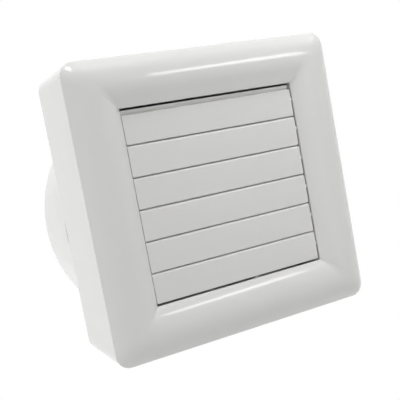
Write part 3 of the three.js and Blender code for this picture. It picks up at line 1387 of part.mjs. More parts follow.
function cableClamp() {
  const bar = roundedBox(CABLE_BAR_X, TERMINAL_Z, CABLE_BAR_WIDTH,
    2 * CABLE_BAR_SPAN + CABLE_BAR_WIDTH, CABLE_BAR_CORNER);
  for (const [x, z] of cablePostPlaces()) {
    bar.holes.push(circle(x, z, M3_RADIUS + RUNNING_GAP));
  }
  return alongY(bar, CABLE_BAR_SEAT - CABLE_BAR_WALL, CABLE_BAR_SEAT);
}

function cableGrommet() {
  const outside = FRONT_SIZE / 2 + SEAT_GAP;
  const inside = SIDE_INNER - SEAT_GAP;
  return turnedX([
    [CABLE_RADIUS, inside - GROMMET_WALL],
    [GROMMET_FLANGE - GROMMET_EDGE, inside - GROMMET_WALL],
    [GROMMET_FLANGE, inside],
    [GROMMET_THROAT, inside],
    [GROMMET_THROAT, outside],
    [GROMMET_FLANGE, outside],
    [GROMMET_FLANGE - GROMMET_EDGE, outside + GROMMET_WALL],
    [CABLE_RADIUS, outside + GROMMET_WALL],
  ], 16);
}

// From the first terminal down through the cover, back through the base plate
// and the pane hole, then down behind the upper arm into the motor.
function motorLead() {
  const armY = MOTOR_RING_REAR + LEAD_RADIUS + 0.8;
  const cupY = CUP_FRONT + LUG_WALL;
  const route = [
    [LEAD_X, PORT_Y, TERMINAL_Z - 3],
    [LEAD_X, PORT_Y, TERMINAL_Z - BLOCK_HEIGHT / 2 - 3],
    [LEAD_X - 2.5, PORT_Y, LEAD_HOLE_Z + 4.5],
    [LEAD_X - 9, PORT_Y, LEAD_HOLE_Z + 1],
    [LEAD_X / 4, PORT_Y + 0.6, LEAD_HOLE_Z],
    [0.8, BASE_FRONT - 3, LEAD_HOLE_Z],
    [0, BASE_FRONT + 1, LEAD_HOLE_Z],
    [0, BASE_REAR + 3, LEAD_HOLE_Z],
    [0, armY - 1, LEAD_HOLE_Z - 2],
    [0, armY + 1.2, DUCT_RADIUS - 4],
    [0, armY, DUCT_RADIUS - 14],
    [0, armY, MOTOR_RING_OUTER + 5],
    [0, armY + 2.4, MOTOR_RADIUS + 6],
    [0, cupY, MOTOR_RADIUS + 1],
    [0, cupY, MOTOR_RADIUS - 5],
  ].map((p) => new THREE.Vector3(...p));
  const options = { extrudePath: new THREE.CatmullRomCurve3(route), steps: 34, curveSegments: 3 };
  return new THREE.ExtrudeGeometry(circle(0, 0, LEAD_RADIUS), { ...options, bevelEnabled: false });
}

function addTerminals(root) {
  place(root, 'terminal_block', terminalBlock(), BLACK_PLASTIC);
  for (let i = 0; i < TERMINAL_COUNT; i++) {
    const geometry = screw(TERMINAL_SCREW_RADIUS, TERMINAL_SCREW, TERMINAL_HEAD);
    const mesh = place(root, `terminal_screw_${i + 1}`, geometry, STEEL);
    mesh.position.set(LEAD_X + i * CELL_WIDTH, BLOCK_FRONT + WELL_SINK, TERMINAL_Z);
  }
  place(root, 'terminal_cover', terminalCover(), WHITE_SATIN);
  const coverScrew = place(root, 'cover_screw', screw(M3_RADIUS, COVER_SCREW, PAN_HEAD), STEEL);
  coverScrew.position.set(COVER_SCREW_X, COVER_FRONT - SEAT_GAP, TERMINAL_Z);
}

function addCableInlet(root, housing) {
  place(root, 'cable_clamp', cableClamp(), BLACK_PLASTIC);
  const seat = CABLE_BAR_SEAT - CABLE_BAR_WALL - SEAT_GAP;
  cablePostPlaces().forEach(([x, z], i) => {
    const geometry = screw(M3_RADIUS, CABLE_SCREW, SMALL_HEAD);
    const mesh = place(root, `cable_clamp_screw_${i + 1}`, geometry, STEEL);
    mesh.position.set(x, seat, z);
  });
  const grommet = place(housing, 'cable_grommet', cableGrommet(), SOFT_RUBBER);
  grommet.position.set(0, GROMMET_Y, GROMMET_Z);
}

// ------------------------------------------------------------------ assembly
const fan = new THREE.Group();
const housing = new THREE.Group();
housing.position.z = HOUSING_Z;
fan.add(housing);

place(housing, 'front_frame', frontFrame(), WHITE_GLOSS);
addLouvres(housing);
addActuator(housing);
addEnclosure(fan);
addRotor(fan);
addMotor(fan);
addTerminals(fan);
addCableInlet(fan, housing);
place(fan, 'motor_lead', motorLead(), BLACK_PLASTIC);

export default fan;
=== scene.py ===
"""Looks of the window exhaust fan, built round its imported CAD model.

Lengths are millimetres in the CAD model's frame, until mesh() turns them into
metres: X to the right, Y back through the pane and Z up, from the fan's axis.
The lamps alone are placed in metres. The sizes down to the section of offsets
are the CAD model's own.
"""

import json
import math

import bmesh
import bpy
from mathutils import Matrix, Vector

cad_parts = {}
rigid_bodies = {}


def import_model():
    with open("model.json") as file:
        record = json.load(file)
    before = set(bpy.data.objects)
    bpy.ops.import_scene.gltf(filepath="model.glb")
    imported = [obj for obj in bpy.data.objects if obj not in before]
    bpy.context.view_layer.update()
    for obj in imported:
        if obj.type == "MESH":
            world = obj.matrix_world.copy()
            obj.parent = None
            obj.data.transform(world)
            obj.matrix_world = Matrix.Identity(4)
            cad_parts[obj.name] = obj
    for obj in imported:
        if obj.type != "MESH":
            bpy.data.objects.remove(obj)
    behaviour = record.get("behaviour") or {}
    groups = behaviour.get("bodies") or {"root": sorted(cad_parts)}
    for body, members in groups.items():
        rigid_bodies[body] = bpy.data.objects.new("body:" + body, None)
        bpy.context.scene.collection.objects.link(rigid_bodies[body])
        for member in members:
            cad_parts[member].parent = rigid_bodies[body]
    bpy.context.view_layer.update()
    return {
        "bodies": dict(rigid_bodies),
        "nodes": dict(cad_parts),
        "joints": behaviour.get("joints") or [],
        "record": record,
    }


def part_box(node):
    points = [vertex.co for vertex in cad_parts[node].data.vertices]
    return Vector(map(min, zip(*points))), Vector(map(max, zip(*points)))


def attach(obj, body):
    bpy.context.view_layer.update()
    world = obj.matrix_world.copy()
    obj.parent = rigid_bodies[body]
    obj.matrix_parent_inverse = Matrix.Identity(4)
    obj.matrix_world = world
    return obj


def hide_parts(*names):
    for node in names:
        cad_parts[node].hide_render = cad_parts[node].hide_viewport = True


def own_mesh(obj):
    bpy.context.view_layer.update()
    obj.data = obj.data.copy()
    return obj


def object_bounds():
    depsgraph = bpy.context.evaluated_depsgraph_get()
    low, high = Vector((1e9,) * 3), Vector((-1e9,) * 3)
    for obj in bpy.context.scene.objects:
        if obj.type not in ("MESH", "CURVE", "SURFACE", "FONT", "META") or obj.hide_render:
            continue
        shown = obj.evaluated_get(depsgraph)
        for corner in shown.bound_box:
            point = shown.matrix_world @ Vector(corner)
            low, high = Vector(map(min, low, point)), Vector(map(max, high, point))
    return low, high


MM = 0.001
TAU = 2 * math.pi
QUARTER = TAU / 4

# ---- gaps and laps
SEAT_GAP = 0.3  # between pieces that seat on each other
RUNNING_GAP = 0.3  # radial, round pins, shafts and screws
BLADE_TIP_GAP = 2  # impeller to duct
BOSS_GAP = 1.5  # clamp bosses to duct
BORE_GAP = 1.5  # duct to the cowl's flange
LEAD_GAP = 1.4  # radial, motor lead in its holes
OVERCUT = 1  # cutters run on past the faces they cut
ROOT_LAP = 1  # joined bodies run on into each other

# ---- square housing
FRONT_SIZE = 205  # across the square front
SIDE_DEPTH = 67.5  # front ridge to pane
RAIL_CROWN = 7.6  # how far the rails stand ahead of the ridge
CROWN_POWER = 0.9  # 1 is a parabola, and less a fuller rail
CORNER_RADIUS = 10  # outer corners
OPENING_CORNER = 0.5  # inner corners, nearly sharp
OPENING_WIDTH = 136.4
OPENING_HEIGHT = 137.2
OPENING_RISE = 1.2  # opening's centre above the housing's
OPENING_LEAD = 0.8  # edge of the opening ahead of the ridge
REVEAL_DEPTH = 13.5  # walls that run back from the opening's edge
REVEAL_WALL = 2.2
SHELL_WALL = 2.5
SKIRT_SETBACK = 0.8  # skirt's rear edge to the pane
HOUSING_Z = 11.8  # housing's centre above the fan's axis
BRACKET_BOSS = 3.2  # radius of the bracket's bosses
BRACKET_FRONT = -67.4  # the bracket's front face
BRACKET_SCREW_X = 91.2
BRACKET_SCREW_Z = (40, 72)  # above the housing's centre

# ---- louvres
LOUVRE_COUNT = 6
LOUVRE_TOP_GAP = 2.15
LOUVRE_SEAM = 0.4  # gap between two faces
LOUVRE_END_GAP = 1.4
LOUVRE_WALL = 2.2
LOUVRE_RECESS = 0.2  # louvre faces behind the opening's edge
LOUVRE_CORNER = 1.2
LOUVRE_FOOT = 0.4  # radius of the bottom edge
LIP_HEIGHT = 2.85  # lip that laps behind the louvre above
LIP_EDGE = 0.3
LAP_WALL = 1.2
LAP_GAP = 0.5
PIVOT_DROP = 9  # pivot below the top of the louvre's face
PIVOT_RADIUS = 1.5
PIVOT_FLOOR = 0.5  # pivot pins end inside the reveal's wall
EAR_WALL = 0.7  # round each pivot pin, at the louvre's end
EAR_LENGTH = 2
OPEN_ANGLE = math.radians(75)
CRANK_RADIUS = 18.5  # pivot to link bar pin
CRANK_ROOT = 1.5  # where the crank leaves the louvre
CRANK_WIDTH = 6
CRANK_WALL = 2
CRANK_END_GAP = 11  # crank arm in from the louvre's end
DRIVEN_LOUVRE = 3  # the one that the actuator turns
DRIVE_RADIUS = 9  # pivot to drive pin
NOTCH_GAP = 1  # round the drive pin's swing
NOTCH_CORNER = 1.5
LINK_GAP = 0.5  # link bar to the crank arms
LINK_WALL = 2.4
LINK_WIDTH = 4.6
LINK_EYE_RADIUS = 3.4
SNAP_HEAD = 0.9  # length of the heads on the crank pins
SPRING_TURNS = 5
SPRING_WIRE = 0.4  # the wire's radius

# ---- base plate and cowl
DUCT_RADIUS = 68
DUCT_WALL = 2
DUCT_FRONT = -41.5
DUCT_REAR = 6
BELLMOUTH = 6  # flare at the duct's front
BASE_REAR = -1.5
BASE_WALL = 2.5
BASE_CORNER = 9.6
RIM_HEIGHT = 10
ARM_COUNT = 4
ARM_WIDTH = 5
ARM_FRONT = 0.5
MOTOR_RING_INNER = 24
MOTOR_RING_MARGIN = 1  # ring beyond the motor's lugs
MOTOR_RING_SETBACK = 1  # ring behind the arms' front
MOTOR_RING_REAR = 5
BOSS_RADIUS = 4.5
BOSS_DEPTH = 16  # on the cowl
BOSS_FLOOR = 1.5  # closed end
BASE_BOSS_DEPTH = 8  # on the base plate
TERMINAL_X = 30
TERMINAL_Z = 93
CABLE_POST = (3, 10)  # radius and height
CABLE_BAR_REACH = 38  # cable clamp to the terminals' middle
CABLE_BAR_SPAN = 7  # its screws above and below the cable
COVER_POST = (3.5, 12)  # radius and height
COVER_SCREW_REACH = 29  # cover's screw to it
FRAME_SCREW_INSET = 29.7
FRAME_SCREW_SEAT = 1.5  # heads sunk into the skirt
SCREW_BLOCK = (10, 9, 12)  # width, depth and height
BLOCK_CORNER = 1.5
LEAD_RADIUS = 1.6
LEAD_HOLE_GAP = 3.2  # lead's hole to the duct
GASKET_WALL = 1.2
PANE_GAP = 0.4  # between the gaskets, with no pane in
COWL_DEPTH = 71.5
COWL_WALL = 2.5
COWL_FRONT = 0.8
COWL_LIP = 8  # inward lip that holds the guard
COWL_EDGE = 2.5  # rear edge radius
DRAIN_X = (-22, 22)
DRAIN_WIDTH = 12
DRAIN_LENGTH = 4
DRAIN_CORNER = 1.9
DRAIN_REAR_GAP = 19.75  # drains ahead of the cowl's rear edge
DRAIN_REACH = 8  # their cutters, up from the cowl's lowest point
GUARD_DEPTH = 3
GUARD_BAR = 2.2
GUARD_RINGS = 6
GUARD_SPOKES = 6
GUARD_HUB = 10
GUARD_LAP = 2  # guard's rim inside the cowl's lip

# ---- motor, impeller and fittings
MOTOR_RADIUS = 32
MOTOR_CUP_DEPTH = 38
CUP_WALL = 1.5
CUP_EDGE = 8
SHIELD_WALL = 2
LUG_RADIUS = 4
LUG_WALL = 4
LUG_ANGLES = (30, 150, 270)
BLADE_COUNT = 7
BLADE_WALL = 1.8
BLADE_EDGE = 0.35  # thickness, as a share of the wall
BLADE_CAMBER = 0.08
BLADE_SETBACK = 1  # blades behind the hub's middle
BLADE_CHORD = (26, 44)  # root and tip
BLADE_PITCH = (math.radians(44), math.radians(24))
BLADE_SWEEP = math.radians(20)
HUB_RADIUS = 21
HUB_WALL = 2
HUB_FRONT = -37
HUB_REAR = -10
HUB_EDGE = 7  # outer radius of the hub's nose
HUB_BOSS_RADIUS = 5.5
HUB_BOSS_SETBACK = 4  # boss short of the hub's rear edge
HUB_RIB_COUNT = 3
HUB_RIB_WALL = 1.4
HUB_RIB_SETBACK = 8
SHAFT_RADIUS = 2.5
NUT_RADIUS = 4.6
NUT_HEIGHT = 4
M3_RADIUS = 1.5
M4_RADIUS = 2
PAN_HEAD = (2.8, 1.8)  # radius and height
FLAT_HEAD = (2.9, 1.4)
CLAMP_HEAD = (3.8, 2.6)
FRAME_SCREW = 10  # shank length
MOTOR_SCREW_TIP = 2  # tips of the motor's screws behind the pane
SCREW_END_GAP = 1  # screw tips to their holes' ends
CABLE_RADIUS = 3.5
GROMMET_Y = -24
GROMMET_FLANGE = 8
GROMMET_THROAT = 6.2
GROMMET_WALL = 2  # flange thickness

# ---- offsets from the CAD model, to follow the photograph
TOP_SILL = 1.7  # the frame's edge lower, above the louvres
SIDE_SILL = 0.7  # the frame's edges further in, beside them
LEFT_GAP = 0.5  # louvres to the frame
RIGHT_GAP = 1.3
SEAM_SHADOW = 0.6  # gap between two faces
LAST_SEAM = 1.1  # under the last louvre
FIRST_FACE_DROP = 1.4  # top of the first louvre's face lower
FACE_EDGE = 1.7  # radius of the faces' top edges
FIRST_FACE_EDGE = 0.5
LIP_SHADOW = 1.3  # how far the lips lean back
LIP_REACH = 5  # outline's cutter behind the pivots
LIP_DROP = 0.95  # lips lower
REBATE_RISE = 1.4  # thinned lap above a lip's height

# ---- details of the scene alone
FINE_EDGE = 0.25
MOULD_EDGE = 0.3
BOSS_EDGE = 0.5
ARM_EDGE = 0.6
SKIRT_EDGE = 0.4
EAR_SETBACK = 0.1
SNAP_GAP = 0.4  # link bar to the heads of the crank pins
SNAP_RIM = 0.5  # heads wider than the pins
SNAP_LAP = 0.2  # pins run on into their heads
COWL_RIM_EDGE = 0.4
COWL_LIP_EDGE = 0.6
GUARD_EDGE = 0.8
GUARD_RIM_EDGE = 0.6
SPOKE_LAP = 2  # spokes run on into the hub and the rim
LUG_LAP = 0.5  # lugs run on into the cup's wall
NUT_CHAMFER = 0.5
NUT_FACE = 0.86  # flat face, as a share of the nut's radius
NUT_CORNER_GAP = 0.1  # chamfer's cutter beyond the corners
GROMMET_EDGE = 1.4
GROMMET_CHAMFER = 0.4
HEAD_BREAK = 0.15  # edge under a screw's head
CROWN_HEIGHT = 0.7  # a head's crown at most, of its height
CROWN_RADIUS = 0.45  # and of its radius
RECESS_LENGTH = 1.1  # cross recess, as shares of the head's radius
RECESS_WIDTH = 0.32
RECESS_FLOOR = 0.35  # its floor, as a share of the head's height
RECESS_CORNER = 0.12

# ---- facets round a full turn, and along curves
WIRE_FACETS = 10
HOLE_FACETS = 20
PIN_FACETS = 24
BOSS_FACETS = 32
POST_FACETS = 40
HUB_FACETS = 64
RING_FACETS = 96
WHEEL_FACETS = 112
CUP_FACETS = 128
DUCT_FACETS = 160
COWL_FACETS = 192
GUARD_FACETS = 16  # more for each ring
SPRING_STEPS = 24  # for each turn
RAIL_STEPS = 40
RAIL_BACK_STEPS = 14
CORNER_STEPS = 14
CHORD_STEPS = 14
SPAN_STEPS = 16

# ---- places that follow from these
RIDGE_Y = -SIDE_DEPTH
OPENING_Y = RIDGE_Y - OPENING_LEAD
REVEAL_REAR = OPENING_Y + REVEAL_DEPTH
REVEAL_OUTER = OPENING_WIDTH / 2 + REVEAL_WALL
RAIL_WIDTH = (FRONT_SIZE - OPENING_WIDTH) / 2
PITCH = (OPENING_HEIGHT - LOUVRE_TOP_GAP - LIP_HEIGHT - LOUVRE_SEAM) / LOUVRE_COUNT
LOUVRE_HALF = OPENING_WIDTH / 2 - LOUVRE_END_GAP
PIVOT_Y = OPENING_Y + LOUVRE_RECESS + LOUVRE_WALL
FIRST_PIVOT_Z = (
    HOUSING_Z + OPENING_RISE + OPENING_HEIGHT / 2 - LOUVRE_TOP_GAP - LIP_HEIGHT - PIVOT_DROP
)
CRANK_ANGLE = OPEN_ANGLE / 2
CRANK_X = LOUVRE_HALF - CRANK_END_GAP
CRANK_Y = CRANK_RADIUS * math.cos(CRANK_ANGLE)
CRANK_Z = CRANK_RADIUS * math.sin(CRANK_ANGLE)
LINK_X = CRANK_X + CRANK_WALL / 2 + LINK_GAP
M3_HOLE = M3_RADIUS + RUNNING_GAP
M4_HOLE = M4_RADIUS + RUNNING_GAP

DUCT_OUTER = DUCT_RADIUS + DUCT_WALL
BASE_SIZE = FRONT_SIZE - 2 * (SHELL_WALL + SEAT_GAP)
BASE_FRONT = BASE_REAR - BASE_WALL
CLAMP_OFFSET = (DUCT_OUTER + BOSS_GAP + BOSS_RADIUS) * math.sqrt(0.5)
LEAD_HOLE = (0, DUCT_OUTER + LEAD_RADIUS + LEAD_HOLE_GAP, LEAD_RADIUS + LEAD_GAP)
FRAME_SCREW_X = BASE_SIZE / 2 - FRAME_SCREW_INSET
FRAME_SCREW_Y = BASE_FRONT - RIM_HEIGHT / 2
COWL_RADIUS = FRONT_SIZE / 2
COWL_BORE = DUCT_OUTER + BORE_GAP
FLANGE_FRONT = PANE_GAP + GASKET_WALL + SEAT_GAP
FLANGE_REAR = FLANGE_FRONT + COWL_WALL
GUARD_REAR = COWL_DEPTH - COWL_WALL - SEAT_GAP
GUARD_MIDDLE = GUARD_REAR - GUARD_DEPTH / 2
GUARD_RIM = COWL_RADIUS - COWL_LIP - GUARD_LAP

TIP_RADIUS = DUCT_RADIUS - BLADE_TIP_GAP
LUG_CIRCLE = MOTOR_RADIUS + LUG_RADIUS
MOTOR_RING_OUTER = LUG_CIRCLE + LUG_RADIUS + MOTOR_RING_MARGIN
CUP_FRONT = MOTOR_RING_REAR + SHIELD_WALL + 2 * SEAT_GAP
CUP_REAR = CUP_FRONT + MOTOR_CUP_DEPTH

# ---- camera, solved from the photograph
CAMERA_PLACE = Vector((-214.6, -493.0, 48.2))
CAMERA_AIM = Vector((0.4117, 0.9075, -0.0837))
CAMERA_UP = Vector((0.2008, -0.0008, 0.9796))
FOCAL_PIXELS = 670.76
PHOTO_PIXELS = 400
SENSOR = 36
CLIP_START = 0.01

FLOOR_DROP = 1  # floor below the fan's lowest point
FLOOR_REACH = 6000
SMOOTH_ANGLE = math.radians(32)
BEVEL_ANGLE = math.radians(40)
WELD_DISTANCE = 1e-7


def lerp(a, b, t):
    return a + (b - a) * t


# ---- mesh tools
def mesh(name, points, faces):
    """A new object from millimetre points, with faces out and soft shading."""
    data = bpy.data.meshes.new(name)
    data.from_pydata([Vector(p) * MM for p in points], [], faces)
    obj = bpy.data.objects.new(name, data)
    bpy.context.scene.collection.objects.link(obj)
    shell = bmesh.new()
    shell.from_mesh(data)
    bmesh.ops.remove_doubles(shell, verts=shell.verts, dist=WELD_DISTANCE)
    bmesh.ops.recalc_face_normals(shell, faces=shell.faces)
    shell.to_mesh(data)
    shell.free()
    return soften(obj)


def soften(obj):
    obj.data.shade_smooth()
    obj.data.set_sharp_from_angle(angle=SMOOTH_ANGLE)
    return obj


def bake(obj):
    """Apply the object's modifiers to its mesh."""
    graph = bpy.context.evaluated_depsgraph_get()
    baked = bpy.data.meshes.new_from_object(obj.evaluated_get(graph))
    obj.modifiers.clear()
    obj.data = baked
    return soften(obj)


def round_edges(obj, width):
    bevel = obj.modifiers.new("edges", "BEVEL")
    bevel.width = width * MM
    bevel.segments = 2
    bevel.limit_method = "ANGLE"
    bevel.angle_limit = BEVEL_ANGLE
    return bake(obj)


def carve(obj, operation, *tools):
    """Cut the tools from the object, or join them to it, and drop the tools."""
    for tool in tools:
        step = obj.modifiers.new("carve", "BOOLEAN")
        step.operation = operation
        step.solver = "EXACT"
        step.object = tool
    bake(obj)
    for tool in tools:
        bpy.data.objects.remove(tool)
    return obj


def merge(first, *others):
    """One object that holds all the shells."""
    shell = bmesh.new()
    for obj in (first, *others):
        shell.from_mesh(obj.data)
    shell.to_mesh(first.data)
    shell.free()
    for obj in others:
        bpy.data.objects.remove(obj)
    return soften(first)


def shift(obj, place, turn=Matrix()):
    """Turn the mesh about the origin and carry it to its place."""
    obj.data.transform(Matrix.Translation(Vector(place) * MM) @ turn)
    return obj


def spin(obj, angle):
    """Turn the mesh about the fan's axis."""
    obj.data.transform(Matrix.Rotation(angle, 4, "Y"))
    return obj


def loft(name, rings, closed=True):
    """Skin over rings of points; closed joins the last ring to the first."""
    count = len(rings[0])
    points = [p for ring in rings for p in ring]
    faces = []
    last = len(rings) if closed else len(rings) - 1
    for r in range(last):
        here = r * count
        there = ((r + 1) % len(rings)) * count
        for i in range(count):
            j = (i + 1) % count
            faces.append((here + i, here + j, there + j, there + i))
    if not closed:
        faces.append(tuple(range(count)))
        faces.append(tuple(reversed(range(len(points) - count, len(points)))))
    return mesh(name, points, faces)


def lathe(name, profile, facets):
    """A closed profile of (radius, y) pairs turned round the fan's axis."""
    rings = []
    for i in range(facets):
        a = TAU * i / facets
        rings.append([(r * math.cos(a), y, r * math.sin(a)) for r, y in profile])
    return loft(name, rings)


def slab(name, outline, low, high, axis):
    """A flat outline run along an axis: "x" takes (y, z), "y" (x, z), "z" (x, y)."""
    place = {
        "x": lambda u, v, w: (w, u, v),
        "y": lambda u, v, w: (u, w, v),
        "z": lambda u, v, w: (u, v, w),
    }[axis]
    rings = [[place(u, v, w) for u, v in outline] for w in (low, high)]
    return loft(name, rings, closed=False)


def rod(name, u, v, radius, low, high, axis, facets=BOSS_FACETS):
    """A round slab about (u, v)."""
    return slab(name, disc(u, v, radius, facets), low, high, axis)


# ---- outlines
def arc(u, v, radius, start, end, steps):
    turn = [lerp(start, end, i / steps) for i in range(steps + 1)]
    return [(u + radius * math.cos(a), v + radius * math.sin(a)) for a in turn]


def disc(u, v, radius, facets):
    return arc(u, v, radius, 0, TAU * (1 - 1 / facets), facets - 1)


def oblong(u0, v0, u1, v1):
    return [(u0, v0), (u1, v0), (u1, v1), (u0, v1)]


def rounded(u, v, width, height, radius, steps=8):
    right = width / 2 - radius
    top = height / 2 - radius
    outline = []
    corners = ((right, top), (-right, top), (-right, -top), (right, -top))
    for k, (x, z) in enumerate(corners):
        outline += arc(u + x, v + z, radius, k * QUARTER, (k + 1) * QUARTER, steps)
    return outline


def stadium(u0, v0, u1, v1, radius, steps=12):
    heading = math.atan2(v1 - v0, u1 - u0)
    return [
        *arc(u1, v1, radius, heading - QUARTER, heading + QUARTER, steps),
        *arc(u0, v0, radius, heading + QUARTER, heading + 3 * QUARTER, steps),
    ]


def dress(obj, body, material, node):
    """Stand a finished piece in for a node of the CAD model."""
    obj.data.materials.clear()
    obj.data.materials.append(material)
    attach(obj, body)
    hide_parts(node)
    return obj


# ---- materials
class Finish:
    """A material that is built up from its surface's own coordinates."""

    def __init__(self, name, color, metallic=0.0):
        self.material = bpy.data.materials.new(name)
        self.material.use_nodes = True
        self.nodes = self.material.node_tree.nodes
        self.links = self.material.node_tree.links
        self.shader = self.nodes["Principled BSDF"]
        self.color = (*color, 1)
        self.set("Metallic", metallic)
        self.place = self.nodes.new("ShaderNodeTexCoord")

    def set(self, socket, value):
        self.shader.inputs[socket].default_value = value

    def noise(self, scale, detail):
        noise = self.nodes.new("ShaderNodeTexNoise")
        noise.inputs["Scale"].default_value = scale
        noise.inputs["Detail"].default_value = detail
        self.links.new(self.place.outputs["Object"], noise.inputs["Vector"])
        return noise.outputs["Fac"]

    def waves(self, scale, direction, distortion=0.0):
        wave = self.nodes.new("ShaderNodeTexWave")
        wave.bands_direction = direction
        wave.inputs["Scale"].default_value = scale
        wave.inputs["Distortion"].default_value = distortion
        self.links.new(self.place.outputs["Object"], wave.inputs["Vector"])
        return wave.outputs["Fac"]

    def roughen(self, source, low, high):
        """Roughness that wanders between two values."""
        remap = self.nodes.new("ShaderNodeMapRange")
        remap.inputs["To Min"].default_value = low
        remap.inputs["To Max"].default_value = high
        self.links.new(source, remap.inputs["Value"])
        self.links.new(remap.outputs["Result"], self.shader.inputs["Roughness"])

    def tint(self, source, other):
        mix = self.nodes.new("ShaderNodeMix")
        mix.data_type = "RGBA"
        mix.inputs["A"].default_value = self.color
        mix.inputs["B"].default_value = (*other, 1)
        self.links.new(source, mix.inputs["Factor"])
        self.links.new(mix.outputs["Result"], self.shader.inputs["Base Color"])

    def bump(self, source, height, strength):
        node = self.nodes.new("ShaderNodeBump")
        node.inputs["Strength"].default_value = strength
        node.inputs["Distance"].default_value = height * MM
        self.links.new(source, node.inputs["Height"])
        self.links.new(node.outputs["Normal"], self.shader.inputs["Normal"])


def moulded(name, color, shade, roughness, grain, coat=0.0):
    """Injection-moulded plastic: faint flow tone, a soft wander in its gloss."""
    finish = Finish(name, color)
    finish.tint(finish.noise(scale=9, detail=3), shade)
    finish.roughen(finish.noise(scale=38, detail=5), roughness * 0.85, roughness * 1.2)
    finish.bump(finish.noise(scale=grain, detail=3), height=0.02, strength=0.25)
    finish.set("IOR", 1.5)
    if coat:
        finish.set("Coat Weight", coat)
        finish.set("Coat Roughness", 0.06)
    return finish.material


def plated_steel():
    finish = Finish("steel", (0.56, 0.57, 0.58), metallic=1.0)
    finish.tint(finish.noise(scale=160, detail=5), (0.4368, 0.4446, 0.4524))
    finish.roughen(finish.noise(scale=90, detail=6), 0.21, 0.45)
    finish.bump(finish.noise(scale=900, detail=3), height=0.01, strength=0.3)
    return finish.material


def laminated_steel():
    """Edges of the stamped sheets, stacked along the fan's axis."""
    finish = Finish("stack_steel", (0.2, 0.205, 0.21), metallic=1.0)
    finish.tint(finish.noise(scale=240, detail=5), (0.1, 0.09, 0.085))
    finish.roughen(finish.noise(scale=120, detail=4), 0.4, 0.65)
    finish.bump(finish.waves(640, "Y"), height=0.12, strength=0.8)
    return finish.material


def enamelled_copper():
    finish = Finish("copper_wire", (0.46, 0.12, 0.045), metallic=1.0)
    finish.tint(finish.noise(scale=120, detail=4), (0.33, 0.07, 0.03))
    finish.roughen(finish.noise(scale=300, detail=3), 0.2, 0.4)
    finish.bump(finish.waves(520, "DIAGONAL", distortion=1.2), height=0.18, strength=0.8)
    return finish.material


def soft_rubber():
    finish = Finish("soft_rubber", (0.018, 0.018, 0.019))
    finish.tint(finish.noise(scale=70, detail=5), (0.03, 0.03, 0.031))
    finish.roughen(finish.noise(scale=260, detail=4), 0.62, 0.88)
    finish.bump(finish.noise(scale=1400, detail=4), height=0.05, strength=0.5)
    finish.set("Specular IOR Level", 0.35)
    return finish.material


def turned_bronze():
    finish = Finish("bronze", (0.52, 0.3, 0.11), metallic=1.0)
    finish.tint(finish.noise(scale=90, detail=5), (0.36, 0.2, 0.08))
    finish.roughen(finish.noise(scale=200, detail=4), 0.24, 0.46)
    finish.bump(finish.waves(900, "Z", distortion=0.4), height=0.03, strength=0.4)
    return finish.material


def make_materials():
    return {
        "white_gloss": moulded("white_gloss", (0.8, 0.8, 0.785), (0.78, 0.78, 0.765),
                               roughness=0.24, grain=420, coat=0.8),
        "white_satin": moulded("white_satin", (0.72, 0.72, 0.7), (0.68, 0.68, 0.655),
                               roughness=0.42, grain=700),
        "grey_plastic": moulded("grey_plastic", (0.3, 0.31, 0.32), (0.26, 0.27, 0.28),
                                roughness=0.45, grain=800),
        "black_plastic": moulded("black_plastic", (0.018, 0.018, 0.02), (0.03, 0.03, 0.032),
                                 roughness=0.48, grain=900),
        "soft_rubber": soft_rubber(),
        "copper_wire": enamelled_copper(),
        "steel": plated_steel(),
        "stack_steel": laminated_steel(),
        "bronze": turned_bronze(),
    }


# ---- places of what repeats
def pivot_z(number):
    return FIRST_PIVOT_Z - (number - 1) * PITCH


def clamp_places():
    signs = ((1, 1), (-1, 1), (-1, -1), (1, -1))
    return [(sx * CLAMP_OFFSET, sz * CLAMP_OFFSET) for sx, sz in signs]


def lug_places():
    turns = [math.radians(a) for a in LUG_ANGLES]
    return [(LUG_CIRCLE * math.cos(a), LUG_CIRCLE * math.sin(a)) for a in turns]


# ---- front frame
def frame_ring(share, y):
    """The ring round the opening at a share of the rail: 0 inside, 1 outside."""
    width = lerp(OPENING_WIDTH - 2 * SIDE_SILL, FRONT_SIZE, share)
    height = lerp(OPENING_HEIGHT - TOP_SILL, FRONT_SIZE, share)
    radius = lerp(OPENING_CORNER, CORNER_RADIUS, share)
    rise = HOUSING_Z + lerp(OPENING_RISE - TOP_SILL / 2, 0, share)
    return [(x, y, z) for x, z in rounded(0, rise, width, height, radius, CORNER_STEPS)]


def rail_y(share, setback=0.0):
    crown = max(0.0, 1 - (2 * share - 1) ** 2) ** CROWN_POWER
    return RIDGE_Y - OPENING_LEAD * (1 - share) - RAIL_CROWN * crown + setback


def frame_section():
    """The moulding's section in (share of the rail, y), from its outer edge inwards."""
    reveal = REVEAL_WALL / RAIL_WIDTH
    skirt = 1 - SHELL_WALL / RAIL_WIDTH
    front = [0.5 + 0.5 * math.cos(math.pi * i / RAIL_STEPS) for i in range(RAIL_STEPS + 1)]
    back = [lerp(reveal, skirt, i / RAIL_BACK_STEPS) for i in range(RAIL_BACK_STEPS + 1)]
    return [
        *[(share, rail_y(share)) for share in front],
        (0, REVEAL_REAR),
        (reveal, REVEAL_REAR),
        *[(share, rail_y(share, SHELL_WALL)) for share in back],
        (skirt, -SKIRT_SETBACK),
        (1 - SKIRT_EDGE / RAIL_WIDTH, -SKIRT_SETBACK),
        (1, -SKIRT_SETBACK - SKIRT_EDGE),
    ]


def reveal_cut(side):
    """A cutter's span through the reveal's left wall, -1, or its right one, 1."""
    return sorted((side * (OPENING_WIDTH / 2 - OVERCUT), side * (REVEAL_OUTER + OVERCUT)))


